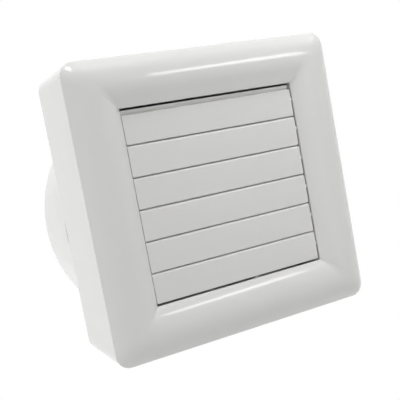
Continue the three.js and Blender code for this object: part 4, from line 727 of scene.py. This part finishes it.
def pivot_holes():
    holes = []
    for number in range(1, LOUVRE_COUNT + 1):
        for side in (1, -1):
            holes.append(rod("hole", PIVOT_Y, pivot_z(number), PIVOT_RADIUS + RUNNING_GAP,
                             *reveal_cut(side), "x", HOLE_FACETS))
    return holes


def drive_pin_notch():
    """Room for the drive pin's swing, open to the rear of the right-hand reveal."""
    half = DRIVE_RADIUS * math.sin(CRANK_ANGLE) + PIVOT_RADIUS + NOTCH_GAP
    front = PIVOT_Y + DRIVE_RADIUS * math.cos(CRANK_ANGLE) - PIVOT_RADIUS - NOTCH_GAP
    rear = REVEAL_REAR + 2 * NOTCH_CORNER + OVERCUT
    outline = rounded((front + rear) / 2, pivot_z(DRIVEN_LOUVRE), rear - front, 2 * half,
                      NOTCH_CORNER)
    return slab("notch", outline, *reveal_cut(1), "x")


def cord_inlet():
    side = FRONT_SIZE / 2
    return rod("inlet", GROMMET_Y, TERMINAL_Z, GROMMET_THROAT + SEAT_GAP,
               side - SHELL_WALL - OVERCUT, side + OVERCUT, "x")


def frame_screw_holes():
    bottom = HOUSING_Z - FRONT_SIZE / 2
    holes = []
    for x in (-FRAME_SCREW_X, FRAME_SCREW_X):
        holes.append(rod("screw_hole", x, FRAME_SCREW_Y, M3_HOLE, bottom - OVERCUT,
                         bottom + SHELL_WALL + OVERCUT, "z", HOLE_FACETS))
        holes.append(rod("screw_seat", x, FRAME_SCREW_Y, FLAT_HEAD[0] + SEAT_GAP,
                         bottom - OVERCUT, bottom + FRAME_SCREW_SEAT, "z"))
    return holes


def bracket_bosses():
    share = (BRACKET_SCREW_X - OPENING_WIDTH / 2) / RAIL_WIDTH
    inside = rail_y(share, SHELL_WALL)
    rear = BRACKET_FRONT - SEAT_GAP
    bosses = []
    for z in BRACKET_SCREW_Z:
        place = (BRACKET_SCREW_X, HOUSING_Z + z)
        boss = rod("boss", *place, BRACKET_BOSS, inside - SHELL_WALL / 2, rear, "y")
        hole = rod("hole", *place, M3_HOLE, inside, rear + OVERCUT, "y", PIN_FACETS)
        bosses.append(carve(boss, "DIFFERENCE", hole))
    return bosses


def front_frame():
    frame = loft("bezel_and_skirt", [frame_ring(share, y) for share, y in frame_section()])
    tools = [*pivot_holes(), cord_inlet(), *frame_screw_holes(), drive_pin_notch()]
    carve(frame, "DIFFERENCE", *tools)
    return merge(frame, *bracket_bosses())


# ---- louvres
def louvre_section(top, edge, seam):
    """Section about the pivot: rounded top edge, leaning lip above, thin lower lap."""
    front = -LOUVRE_WALL
    lip_top = PIVOT_DROP + LIP_HEIGHT - LIP_DROP
    lip_front = front + LAP_WALL + LAP_GAP
    lip_rear = lip_front + LAP_WALL
    bottom = PIVOT_DROP - PITCH + seam
    rebate = bottom + LIP_HEIGHT + REBATE_RISE
    foot, soft = LOUVRE_FOOT, LIP_EDGE
    return [
        *arc(front + foot, bottom + foot, foot, 3 * QUARTER, 2 * QUARTER, steps=5),
        *arc(front + edge, top - edge, edge, 2 * QUARTER, QUARTER, steps=10),
        (front + LAP_WALL + LIP_SHADOW, top),
        *arc(lip_front + soft, lip_top - soft, soft, 2 * QUARTER, QUARTER, steps=4),
        *arc(lip_rear - soft, lip_top - soft, soft, QUARTER, 0, steps=4),
        (lip_rear + LIP_SHADOW, PIVOT_DROP - LAP_WALL),
        (0, PIVOT_DROP - 2 * LAP_WALL),
        (0, rebate + LAP_WALL),
        (front + LAP_WALL, rebate),
        (front + LAP_WALL, bottom),
    ]


def louvre_plate(top, edge, seam):
    """The section run across the opening, with the face's corners rounded."""
    half = OPENING_WIDTH / 2 - SIDE_SILL
    left, right = LEFT_GAP - half, half - RIGHT_GAP
    plate = slab("slat", louvre_section(top, edge, seam), left, right, "x")
    height = PITCH + LIP_HEIGHT - LIP_DROP - seam
    middle = PIVOT_DROP + LIP_HEIGHT - LIP_DROP - height / 2
    outline = rounded((left + right) / 2, middle, right - left, height, LOUVRE_CORNER, steps=6)
    span = (-LOUVRE_WALL - 2 * OVERCUT, LIP_REACH)
    return carve(plate, "INTERSECT", slab("outline", outline, *span, "y"))


def crank():
    """The arm and the snap-headed pin that the link bar moves."""
    tip = (CRANK_Y, CRANK_Z)
    root = (CRANK_ROOT, CRANK_ROOT * math.tan(CRANK_ANGLE))
    outline = stadium(*root, *tip, CRANK_WIDTH / 2)
    arm = slab("arm", outline, CRANK_X - CRANK_WALL / 2, CRANK_X + CRANK_WALL / 2, "x")
    end = LINK_X + LINK_WALL + SNAP_GAP
    stem = rod("stem", *tip, PIVOT_RADIUS, CRANK_X, end + SNAP_LAP, "x", PIN_FACETS)
    head = rod("head", *tip, PIVOT_RADIUS + SNAP_RIM, end, end + SNAP_HEAD, "x", PIN_FACETS)
    return [round_edges(arm, MOULD_EDGE), stem, round_edges(head, FINE_EDGE)]


def louvre_ends():
    """An ear and a pivot pin at each end."""
    shells = []
    root = LOUVRE_HALF - EAR_LENGTH
    for side in (-1, 1):
        ear = sorted((side * LOUVRE_HALF, side * root))
        pin = sorted((side * root, side * (REVEAL_OUTER - PIVOT_FLOOR)))
        shells.append(rod("ear", EAR_SETBACK, 0, PIVOT_RADIUS + EAR_WALL, *ear, "x", PIN_FACETS))
        shells.append(rod("pin", 0, 0, PIVOT_RADIUS, *pin, "x", PIN_FACETS))
    return shells


def louvre(number):
    first = number == 1
    top = PIVOT_DROP - (FIRST_FACE_DROP if first else 0)
    edge = FIRST_FACE_EDGE if first else FACE_EDGE
    seam = LAST_SEAM if number == LOUVRE_COUNT else SEAM_SHADOW
    whole = merge(louvre_plate(top, edge, seam), *crank(), *louvre_ends())
    whole.name = f"slat_{number}"
    return shift(whole, (0, PIVOT_Y, pivot_z(number)))


def link_bar():
    y = PIVOT_Y + CRANK_Y
    pins = [pivot_z(n + 1) + CRANK_Z for n in range(LOUVRE_COUNT)]
    start, end = LINK_X, LINK_X + LINK_WALL
    outline = oblong(y - LINK_WIDTH / 2, pins[-1], y + LINK_WIDTH / 2, pins[0])
    bar = slab("tie_bar", outline, start, end, "x")
    carve(bar, "UNION", *[rod("eye", y, z, LINK_EYE_RADIUS, start, end, "x") for z in pins])
    bore = PIVOT_RADIUS + RUNNING_GAP
    span = (start - OVERCUT, end + OVERCUT)
    carve(bar, "DIFFERENCE", *[rod("hole", y, z, bore, *span, "x", PIN_FACETS) for z in pins])
    return round_edges(bar, FINE_EDGE)


# ---- cowl and guard
def cowl_section():
    inside = COWL_RADIUS - COWL_WALL
    lip = COWL_RADIUS - COWL_LIP
    edge, soft = COWL_EDGE, COWL_LIP_EDGE
    return [
        (COWL_BORE, FLANGE_FRONT),
        (inside, FLANGE_FRONT),
        (inside, COWL_FRONT),
        (COWL_RADIUS - COWL_RIM_EDGE, COWL_FRONT),
        (COWL_RADIUS, COWL_FRONT + COWL_RIM_EDGE),
        *arc(COWL_RADIUS - edge, COWL_DEPTH - edge, edge, 0, QUARTER, steps=10),
        *arc(lip + soft, COWL_DEPTH - soft, soft, QUARTER, 2 * QUARTER, steps=4),
        (lip, COWL_DEPTH - COWL_WALL),
        (inside, COWL_DEPTH - COWL_WALL),
        (inside, FLANGE_REAR),
        (COWL_BORE, FLANGE_REAR),
    ]


def drains():
    """Cutters for the two slots in the lowest part of the wall."""
    slots = []
    low, high = -COWL_RADIUS - 2 * OVERCUT, -COWL_RADIUS + DRAIN_REACH
    for x in DRAIN_X:
        slot = rounded(x, COWL_DEPTH - DRAIN_REAR_GAP, DRAIN_WIDTH, DRAIN_LENGTH, DRAIN_CORNER)
        slots.append(slab("drain", slot, low, high, "z"))
    return slots


def outer_cowl():
    shell = lathe("weather_cowl", cowl_section(), COWL_FACETS)
    span = (FLANGE_FRONT + ROOT_LAP, FLANGE_FRONT + BOSS_DEPTH)
    bosses = [rod("boss", *place, BOSS_RADIUS, *span, "y") for place in clamp_places()]
    cut = (FLANGE_FRONT - OVERCUT, FLANGE_FRONT + 2 * COWL_WALL)
    carve(shell, "DIFFERENCE", rod("notch", *LEAD_HOLE, *cut, "y"), *drains())
    return merge(shell, *[round_edges(boss, BOSS_EDGE) for boss in bosses])


def guard_section(radius, width, edge):
    """Rounded section of a guard's bar, in (radius, y)."""
    return rounded(radius, GUARD_MIDDLE, width, GUARD_DEPTH, edge, steps=4)


def guard_rings():
    rings = []
    step = (GUARD_RIM - GUARD_HUB) / GUARD_RINGS
    for ring in range(1, GUARD_RINGS):
        radius = GUARD_HUB + ring * step - GUARD_BAR / 2
        section = guard_section(radius, GUARD_BAR, GUARD_EDGE)
        rings.append(lathe("ring", section, HUB_FACETS + GUARD_FACETS * ring))
    return rings


def guard_rim():
    outer = COWL_RADIUS - COWL_WALL - 2 * SEAT_GAP
    width = outer - GUARD_RIM
    return lathe("rim", guard_section(GUARD_RIM + width / 2, width, GUARD_RIM_EDGE), COWL_FACETS)


def guard_hub():
    front = GUARD_REAR - GUARD_DEPTH
    radius, edge = GUARD_HUB - GUARD_EDGE, GUARD_EDGE
    profile = [
        (0, front),
        (0, GUARD_REAR),
        *arc(radius, GUARD_REAR - edge, edge, QUARTER, 0, steps=5),
        *arc(radius, front + edge, edge, 0, -QUARTER, steps=5),
    ]
    return lathe("hub", profile, HUB_FACETS)


def guard_spoke(number):
    section = guard_section(0, GUARD_BAR, GUARD_EDGE)
    ends = (GUARD_HUB - SPOKE_LAP, GUARD_RIM + SPOKE_LAP)
    bar = loft("spoke", [[(x, y, z) for z, y in section] for x in ends], closed=False)
    return spin(bar, TAU * (number + 0.5) / GUARD_SPOKES)


def rear_guard():
    spokes = [guard_spoke(number) for number in range(GUARD_SPOKES)]
    guard = merge(*guard_rings(), guard_rim(), guard_hub(), *spokes)
    guard.name = "guard_grille"
    return guard


# ---- base plate
def duct():
    middle = (DUCT_RADIUS + BELLMOUTH, DUCT_FRONT + BELLMOUTH)
    profile = [
        *arc(*middle, BELLMOUTH, 3 * QUARTER, 2 * QUARTER, steps=12),
        (DUCT_RADIUS, DUCT_REAR),
        (DUCT_OUTER, DUCT_REAR),
        *arc(*middle, BELLMOUTH - DUCT_WALL, 2 * QUARTER, 3 * QUARTER, steps=10),
    ]
    return lathe("duct", profile, DUCT_FACETS)


def motor_ring():
    start, end = ARM_FRONT + MOTOR_RING_SETBACK, MOTOR_RING_REAR
    cut = (start - OVERCUT, end + OVERCUT)
    ring = rod("ring", 0, 0, MOTOR_RING_OUTER, start, end, "y", RING_FACETS)
    holes = [rod("hole", 0, 0, MOTOR_RING_INNER, *cut, "y", RING_FACETS)]
    holes += [rod("hole", *place, M3_HOLE, *cut, "y", HOLE_FACETS) for place in lug_places()]
    return round_edges(carve(ring, "DIFFERENCE", *holes), MOULD_EDGE)


def motor_arm(number):
    middle, depth = (ARM_FRONT + MOTOR_RING_REAR) / 2, MOTOR_RING_REAR - ARM_FRONT
    section = rounded(middle, 0, depth, ARM_WIDTH, ARM_EDGE, steps=4)
    start, end = MOTOR_RING_OUTER - 2 * ROOT_LAP, DUCT_RADIUS + ROOT_LAP
    return spin(slab("arm", section, start, end, "x"), number * TAU / ARM_COUNT)


def base_post(x, z, radius, bore, height):
    top = BASE_FRONT - height
    post = rod("post", x, z, radius, top, BASE_FRONT + ROOT_LAP, "y", POST_FACETS)
    hole = rod("hole", x, z, bore, top - OVERCUT, BASE_FRONT, "y", PIN_FACETS)
    return round_edges(carve(post, "DIFFERENCE", hole), FINE_EDGE)


def base_posts():
    """Posts for the clamp screws, the cable clamp's screws and the cover's screw."""
    posts = []
    for x, z in clamp_places():
        posts.append(base_post(x, z, BOSS_RADIUS, M4_HOLE, BASE_BOSS_DEPTH))
    radius, height = CABLE_POST
    for span in (-CABLE_BAR_SPAN, CABLE_BAR_SPAN):
        x = TERMINAL_X + CABLE_BAR_REACH
        posts.append(base_post(x, TERMINAL_Z + span, radius, M3_HOLE, height))
    radius, height = COVER_POST
    posts.append(base_post(TERMINAL_X - COVER_SCREW_REACH, TERMINAL_Z, radius, M3_HOLE, height))
    return posts


def base_sheet():
    """The flat plate, with the ways for the duct, the motor lead and the clamp screws."""
    outline = rounded(0, HOUSING_Z, BASE_SIZE, BASE_SIZE, BASE_CORNER, steps=12)
    plate = slab("duct_plate", outline, BASE_FRONT, BASE_REAR, "y")
    cut = (BASE_FRONT - OVERCUT, BASE_REAR + OVERCUT)
    holes = [rod("way", 0, 0, DUCT_RADIUS + ROOT_LAP, *cut, "y", DUCT_FACETS)]
    holes.append(rod("hole", *LEAD_HOLE, *cut, "y"))
    holes += [rod("hole", *place, M4_HOLE, *cut, "y", PIN_FACETS) for place in clamp_places()]
    return carve(plate, "DIFFERENCE", *holes)


def base_rim():
    front = BASE_FRONT - RIM_HEIGHT
    inside = BASE_SIZE - 2 * BASE_WALL
    outline = rounded(0, HOUSING_Z, BASE_SIZE, BASE_SIZE, BASE_CORNER, steps=12)
    hollow = rounded(0, HOUSING_Z, inside, inside, BASE_CORNER - BASE_WALL, steps=12)
    rim = slab("rim", outline, front, BASE_FRONT, "y")
    core = slab("core", hollow, front - OVERCUT, BASE_FRONT + OVERCUT, "y")
    return round_edges(carve(rim, "DIFFERENCE", core), MOULD_EDGE)


def screw_block(x):
    """Block on the lower rim that a frame screw turns into."""
    width, depth, height = SCREW_BLOCK
    bottom = HOUSING_Z - BASE_SIZE / 2
    outline = rounded(x, FRAME_SCREW_Y, width, depth, BLOCK_CORNER, steps=5)
    block = slab("block", outline, bottom + ROOT_LAP, bottom + height, "z")
    end = bottom + height - SCREW_END_GAP
    bore = rod("bore", x, FRAME_SCREW_Y, M3_HOLE, bottom, end, "z", HOLE_FACETS)
    return carve(block, "DIFFERENCE", bore)


def base_plate():
    blocks = [screw_block(x) for x in (-FRAME_SCREW_X, FRAME_SCREW_X)]
    arms = [motor_arm(number) for number in range(ARM_COUNT)]
    return merge(base_sheet(), base_rim(), duct(), motor_ring(), *arms, *base_posts(), *blocks)


# ---- motor and impeller
def cup_section():
    inside = MOTOR_RADIUS - CUP_WALL
    floor = CUP_REAR - CUP_WALL
    outer, inner = CUP_EDGE, CUP_EDGE - CUP_WALL
    return [
        (MOTOR_RADIUS - MOULD_EDGE, CUP_FRONT),
        (MOTOR_RADIUS, CUP_FRONT + MOULD_EDGE),
        *arc(MOTOR_RADIUS - outer, CUP_REAR - outer, outer, 0, QUARTER, steps=14),
        (0, CUP_REAR),
        (0, floor),
        *arc(inside - inner, floor - inner, inner, QUARTER, 0, steps=10),
        (inside, CUP_FRONT),
    ]


def motor_lug(x, z):
    """A screw lug whose root ends inside the cup's wall."""
    start, end = CUP_FRONT, CUP_FRONT + LUG_WALL
    cut = (start - OVERCUT, end + OVERCUT)
    root = (MOTOR_RADIUS - LUG_LAP) / LUG_CIRCLE
    lug = slab("lug", stadium(x * root, z * root, x, z, LUG_RADIUS, 14), start, end, "y")
    hole = rod("hole", x, z, M3_HOLE, *cut, "y", PIN_FACETS)
    core = rod("core", 0, 0, MOTOR_RADIUS - CUP_WALL + LUG_LAP, *cut, "y", RING_FACETS)
    return round_edges(carve(lug, "DIFFERENCE", hole, core), MOULD_EDGE)


def motor_cup():
    shell = lathe("motor_housing", cup_section(), CUP_FACETS)
    return merge(shell, *[motor_lug(*place) for place in lug_places()])


def blade_ring(share):
    """Round a blade's section at one radius: one face out, the other back."""
    radius = lerp(HUB_RADIUS - HUB_WALL / 2, TIP_RADIUS, share)
    pitch = lerp(*BLADE_PITCH, math.sqrt(share))
    chord = lerp(*BLADE_CHORD, share)
    middle = (HUB_FRONT + HUB_REAR) / 2 + BLADE_SETBACK
    ring = []
    for side in (-1, 1):
        for i in range(CHORD_STEPS + 1):
            u = i / CHORD_STEPS if side < 0 else 1 - i / CHORD_STEPS
            along = (u - 0.5) * chord
            bow = 1 - (2 * u - 1) ** 2
            out = BLADE_CAMBER * chord * bow
            out += side * BLADE_WALL / 2 * lerp(BLADE_EDGE, 1, bow)
            across = along * math.cos(pitch) - out * math.sin(pitch)
            back = along * math.sin(pitch) + out * math.cos(pitch)
            angle = across / radius + BLADE_SWEEP * share * share
            ring.append((radius * math.sin(angle), middle + back, radius * math.cos(angle)))
    return ring


def blade(number):
    rings = [blade_ring(i / SPAN_STEPS) for i in range(SPAN_STEPS + 1)]
    return spin(loft("blade", rings, closed=False), TAU * number / BLADE_COUNT)


def hub_section():
    inside = HUB_RADIUS - HUB_WALL
    floor = HUB_FRONT + HUB_WALL
    bore = SHAFT_RADIUS + RUNNING_GAP
    outer, inner = HUB_EDGE, HUB_EDGE - HUB_WALL / 2
    boss_rear = HUB_REAR - HUB_BOSS_SETBACK
    return [
        (bore, HUB_FRONT),
        *arc(HUB_RADIUS - outer, HUB_FRONT + outer, outer, 3 * QUARTER, 4 * QUARTER, steps=14),
        (HUB_RADIUS, HUB_REAR),
        (inside, HUB_REAR),
        *arc(inside - inner, floor + inner, inner, 4 * QUARTER, 3 * QUARTER, steps=10),
        (HUB_BOSS_RADIUS, floor),
        (HUB_BOSS_RADIUS, boss_rear),
        (bore, boss_rear),
    ]


def hub_rib(number):
    half = HUB_RIB_WALL / 2
    section = oblong(HUB_FRONT + ROOT_LAP, -half, HUB_REAR - HUB_RIB_SETBACK, half)
    rib = slab("rib", section, HUB_BOSS_RADIUS - ROOT_LAP, HUB_RADIUS - ROOT_LAP, "x")
    return spin(rib, TAU * number / HUB_RIB_COUNT)


def impeller():
    hub = lathe("fan_wheel", hub_section(), WHEEL_FACETS)
    blades = [blade(number) for number in range(BLADE_COUNT)]
    ribs = [hub_rib(number) for number in range(HUB_RIB_COUNT)]
    return merge(hub, *blades, *ribs)


# ---- screws, nut, grommet and spring
def screw(radius, length, head, place, turn):
    """Pan head with a cross recess; the shank runs along +Y before the turn."""
    head_radius, height = head
    crown = min(CROWN_HEIGHT * height, CROWN_RADIUS * head_radius)
    profile = [
        (0, -height),
        *arc(head_radius - crown, -height + crown, crown, -QUARTER, 0, steps=8),
        (head_radius, -HEAD_BREAK),
        (head_radius - HEAD_BREAK, 0),
        (radius, 0),
        (radius, length - radius / 2),
        (radius / 2, length),
        (0, length),
    ]
    whole = lathe("bolt", profile, POST_FACETS)
    long, wide = RECESS_LENGTH * head_radius, RECESS_WIDTH * head_radius
    recess = []
    for size in ((long, wide), (wide, long)):
        outline = rounded(0, 0, *size, RECESS_CORNER, steps=2)
        floor = -RECESS_FLOOR * height
        recess.append(slab("slot", outline, -height - OVERCUT, floor, "y"))
    carve(whole, "DIFFERENCE", *recess)
    return shift(whole, place, turn)


def hub_nut():
    rear = HUB_FRONT - SEAT_GAP
    front = rear - NUT_HEIGHT
    nut = rod("nut", 0, 0, NUT_RADIUS, front, rear, "y", facets=6)
    face, corner = NUT_FACE * NUT_RADIUS, NUT_RADIUS + NUT_CORNER_GAP
    chamfer = [(0, front), (face, front), (corner, front + NUT_CHAMFER),
               (corner, rear - NUT_CHAMFER), (face, rear), (0, rear)]
    carve(nut, "INTERSECT", lathe("chamfer", chamfer, HUB_FACETS))
    hole = rod("hole", 0, 0, SHAFT_RADIUS + RUNNING_GAP, front - OVERCUT, rear + OVERCUT,
               "y", POST_FACETS)
    return carve(nut, "DIFFERENCE", hole)


def grommet():
    """Turned about Y, then laid along X in the side wall's hole."""
    inner = FRONT_SIZE / 2 - SHELL_WALL - SEAT_GAP
    outer = FRONT_SIZE / 2 + SEAT_GAP
    inner_end, outer_end = inner - GROMMET_WALL, outer + GROMMET_WALL
    soft, edge = GROMMET_EDGE, GROMMET_CHAMFER
    profile = [
        (CABLE_RADIUS + edge, inner_end),
        *arc(GROMMET_FLANGE - soft, inner_end + soft, soft, -QUARTER, 0, steps=6),
        (GROMMET_FLANGE, inner),
        (GROMMET_THROAT, inner),
        (GROMMET_THROAT, outer),
        (GROMMET_FLANGE, outer),
        *arc(GROMMET_FLANGE - soft, outer_end - soft, soft, 0, QUARTER, steps=6),
        (CABLE_RADIUS + edge, outer_end),
        (CABLE_RADIUS, outer_end - edge),
        (CABLE_RADIUS, inner_end + edge),
    ]
    ring = lathe("grommet", profile, HUB_FACETS)
    return shift(ring, (0, GROMMET_Y, TERMINAL_Z), Matrix.Rotation(-QUARTER, 4, "Z"))


def return_spring():
    """A round wire coiled from the bracket's seat up to the plunger's collar."""
    low, high = (Vector(corner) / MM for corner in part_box("return_spring"))
    foot = Vector(((low.x + high.x) / 2, (low.y + high.y) / 2, low.z + SPRING_WIRE))
    coil = (high.x - low.x) / 2 - SPRING_WIRE
    rise = high.z - low.z - 2 * SPRING_WIRE
    up = Vector((0, 0, 1))
    wire = disc(0, 0, SPRING_WIRE, WIRE_FACETS)
    steps = SPRING_STEPS * SPRING_TURNS
    rings = []
    for i in range(steps + 1):
        a = TAU * SPRING_TURNS * i / steps
        out = Vector((math.cos(a), math.sin(a), 0))
        middle = foot + coil * out + rise * i / steps * up
        rings.append([middle + u * out + v * up for u, v in wire])
    return loft("spring", rings, closed=False)


def add_return_spring(steel):
    """The spring stands on the housing, on a mesh of its own; the real one shortens by the
    plunger's stroke.
    """
    made = dress(return_spring(), "housing", steel, "return_spring")
    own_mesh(made)


def add_screws(steel, kind, places, radius, length, head, turn):
    for i, place in enumerate(places):
        made = screw(radius, length, head, place, turn)
        dress(made, "housing", steel, f"{kind}_screw_{i + 1}")


def add_clamp_screws(steel):
    seat = BASE_FRONT - BASE_BOSS_DEPTH - SEAT_GAP
    length = FLANGE_FRONT + BOSS_DEPTH - BOSS_FLOOR - SCREW_END_GAP - seat
    places = [(x, seat, z) for x, z in clamp_places()]
    add_screws(steel, "clamp", places, M4_RADIUS, length, CLAMP_HEAD, Matrix())


def add_motor_screws(steel):
    """Their heads are behind the cup's lugs, and they run forward."""
    seat = CUP_FRONT + LUG_WALL + SEAT_GAP
    places = [(x, seat, z) for x, z in lug_places()]
    forward = Matrix.Rotation(2 * QUARTER, 4, "X")
    add_screws(steel, "motor", places, M3_RADIUS, seat - MOTOR_SCREW_TIP, PAN_HEAD, forward)


def add_frame_screws(steel):
    seat = HOUSING_Z - FRONT_SIZE / 2 + FRAME_SCREW_SEAT - SEAT_GAP
    places = [(x, FRAME_SCREW_Y, seat) for x in (-FRAME_SCREW_X, FRAME_SCREW_X)]
    upward = Matrix.Rotation(QUARTER, 4, "X")
    add_screws(steel, "frame", places, M3_RADIUS, FRAME_SCREW, FLAT_HEAD, upward)


# ---- camera and light
def add_camera():
    data = bpy.data.cameras.new("camera")
    data.sensor_width = SENSOR
    data.lens = FOCAL_PIXELS / PHOTO_PIXELS * SENSOR
    data.clip_start = CLIP_START
    camera = bpy.data.objects.new("camera", data)
    aim = CAMERA_AIM.normalized()
    up = (CAMERA_UP - aim * CAMERA_UP.dot(aim)).normalized()
    turn = Matrix((aim.cross(up), up, -aim)).transposed().to_4x4()
    camera.matrix_world = Matrix.Translation(CAMERA_PLACE * MM) @ turn
    bpy.context.scene.collection.objects.link(camera)
    bpy.context.scene.camera = camera


def add_lamp(name, place, target, size, watts, glossy=False, diffuse=True):
    data = bpy.data.lights.new(name, "AREA")
    data.shape = "RECTANGLE"
    data.size, data.size_y = size
    data.energy = watts
    lamp = bpy.data.objects.new(name, data)
    lamp.visible_camera = False
    lamp.visible_glossy = glossy
    lamp.visible_diffuse = diffuse
    lamp.location = place
    heading = Vector(target) - Vector(place)
    lamp.rotation_euler = heading.to_track_quat("-Z", "Y").to_euler()
    bpy.context.scene.collection.objects.link(lamp)


def add_soft_boxes():
    """Wide lamps above, to the left and behind, which the gloss doesn't show."""
    fan = (0, -0.03, 0.01)
    add_lamp("overhead", (-0.1, -0.25, 1.5), fan, size=(1.2, 0.5), watts=1.7)
    add_lamp("left", (-1.6, 0.1, 0.4), fan, size=(1.0, 1.2), watts=8.6)
    add_lamp("high_left", (-0.9, -0.9, 1.3), fan, size=(0.8, 0.8), watts=2.2)
    add_lamp("high_back", (0.0, 0.3, 1.5), fan, size=(1.2, 0.5), watts=8.0)
    add_lamp("behind", (0.5, 1.9, 0.15), fan, size=(1.0, 1.0), watts=6)
    add_lamp("near", (0.1, -0.45, 1.0), (0, -0.03, 0.05), size=(0.5, 0.25), watts=5.2)


def add_glints():
    """Small lamps that the gloss shows; the two dots light nothing else."""
    front, left_rail, right_rail = (0, -0.07, 0.02), (-0.09, -0.07, 0.109), (0.09, -0.07, 0.109)
    add_lamp("glint", (0.158, -0.325, 0.185), front, size=(0.18, 0.05), watts=0.15, glossy=True)
    dot = {"size": (0.15, 0.15), "glossy": True, "diffuse": False}
    add_lamp("left_dot", (-0.27, -0.36, 0.605), left_rail, watts=0.5, **dot)
    add_lamp("right_dot", (0.516, -0.19, 0.515), right_rail, watts=0.14, **dot)


def seen_directly(tree):
    """1 for what the camera sees, also in a reflection or through glass."""
    nodes, links = tree.nodes, tree.links
    path = nodes.new("ShaderNodeLightPath")
    seen = path.outputs["Is Camera Ray"]
    for ray in ("Is Glossy Ray", "Is Transmission Ray"):
        either = nodes.new("ShaderNodeMath")
        either.operation = "MAXIMUM"
        links.new(seen, either.inputs[0])
        links.new(path.outputs[ray], either.inputs[1])
        seen = either.outputs["Value"]
    return seen


def background(nodes, color, strength):
    node = nodes.new("ShaderNodeBackground")
    node.inputs["Color"].default_value = (*color, 1)
    node.inputs["Strength"].default_value = strength
    return node.outputs["Background"]


def add_world():
    """White to the camera, and a faint fill for the light."""
    world = bpy.data.worlds.new("studio")
    bpy.context.scene.world = world
    world.use_nodes = True
    nodes, links = world.node_tree.nodes, world.node_tree.links
    nodes.clear()
    choose = nodes.new("ShaderNodeMixShader")
    output = nodes.new("ShaderNodeOutputWorld")
    links.new(seen_directly(world.node_tree), choose.inputs["Fac"])
    links.new(background(nodes, (0.93, 0.92, 0.9), strength=0.13), choose.inputs[1])
    links.new(background(nodes, (1, 1, 1), strength=1), choose.inputs[2])
    links.new(choose.outputs["Shader"], output.inputs["Surface"])


def floor_paint():
    """Light grey to the light, and plain white to the camera."""
    material = bpy.data.materials.new("floor")
    material.use_nodes = True
    nodes, links = material.node_tree.nodes, material.node_tree.links
    shader = nodes["Principled BSDF"]
    shader.inputs["Base Color"].default_value = (0.8, 0.8, 0.8, 1)
    shader.inputs["Roughness"].default_value = 0.9
    glow = nodes.new("ShaderNodeEmission")
    glow.inputs["Strength"].default_value = 1
    choose = nodes.new("ShaderNodeMixShader")
    links.new(seen_directly(material.node_tree), choose.inputs["Fac"])
    links.new(shader.outputs["BSDF"], choose.inputs[1])
    links.new(glow.outputs["Emission"], choose.inputs[2])
    links.new(choose.outputs["Shader"], nodes["Material Output"].inputs["Surface"])
    return material


def add_floor():
    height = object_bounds()[0][2] / MM - FLOOR_DROP
    outline = oblong(-FLOOR_REACH, -FLOOR_REACH, FLOOR_REACH, FLOOR_REACH)
    floor = mesh("floor", [(x, y, height) for x, y in outline], [(0, 1, 2, 3)])
    floor.data.materials.append(floor_paint())


# ---- build
def paint_frame(frame, materials):
    slots = {s["node"]: s["material_slot"] for s in frame["record"]["subparts"]}
    for name, obj in frame["nodes"].items():
        obj.data.materials.clear()
        obj.data.materials.append(materials[slots[name]])


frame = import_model()
materials = make_materials()
paint_frame(frame, materials)

white = materials["white_gloss"]
dress(front_frame(), "housing", white, "front_frame")
for number in range(1, LOUVRE_COUNT + 1):
    node = f"louvre_{number}"
    dress(louvre(number), node, white, node)
dress(outer_cowl(), "housing", white, "outer_cowl")
dress(rear_guard(), "housing", white, "rear_guard")

satin = materials["white_satin"]
dress(base_plate(), "housing", satin, "base_plate")
dress(impeller(), "impeller_rotor", satin, "impeller")
dress(link_bar(), "link_bar", satin, "link_bar")
dress(motor_cup(), "housing", materials["grey_plastic"], "motor_cup")
dress(grommet(), "housing", materials["soft_rubber"], "cable_grommet")

steel = materials["steel"]
dress(hub_nut(), "impeller_rotor", steel, "hub_nut")
add_clamp_screws(steel)
add_motor_screws(steel)
add_frame_screws(steel)
add_return_spring(steel)

add_camera()
add_soft_boxes()
add_glints()
add_world()
add_floor()
bpy.context.scene.view_settings.view_transform = "Standard"
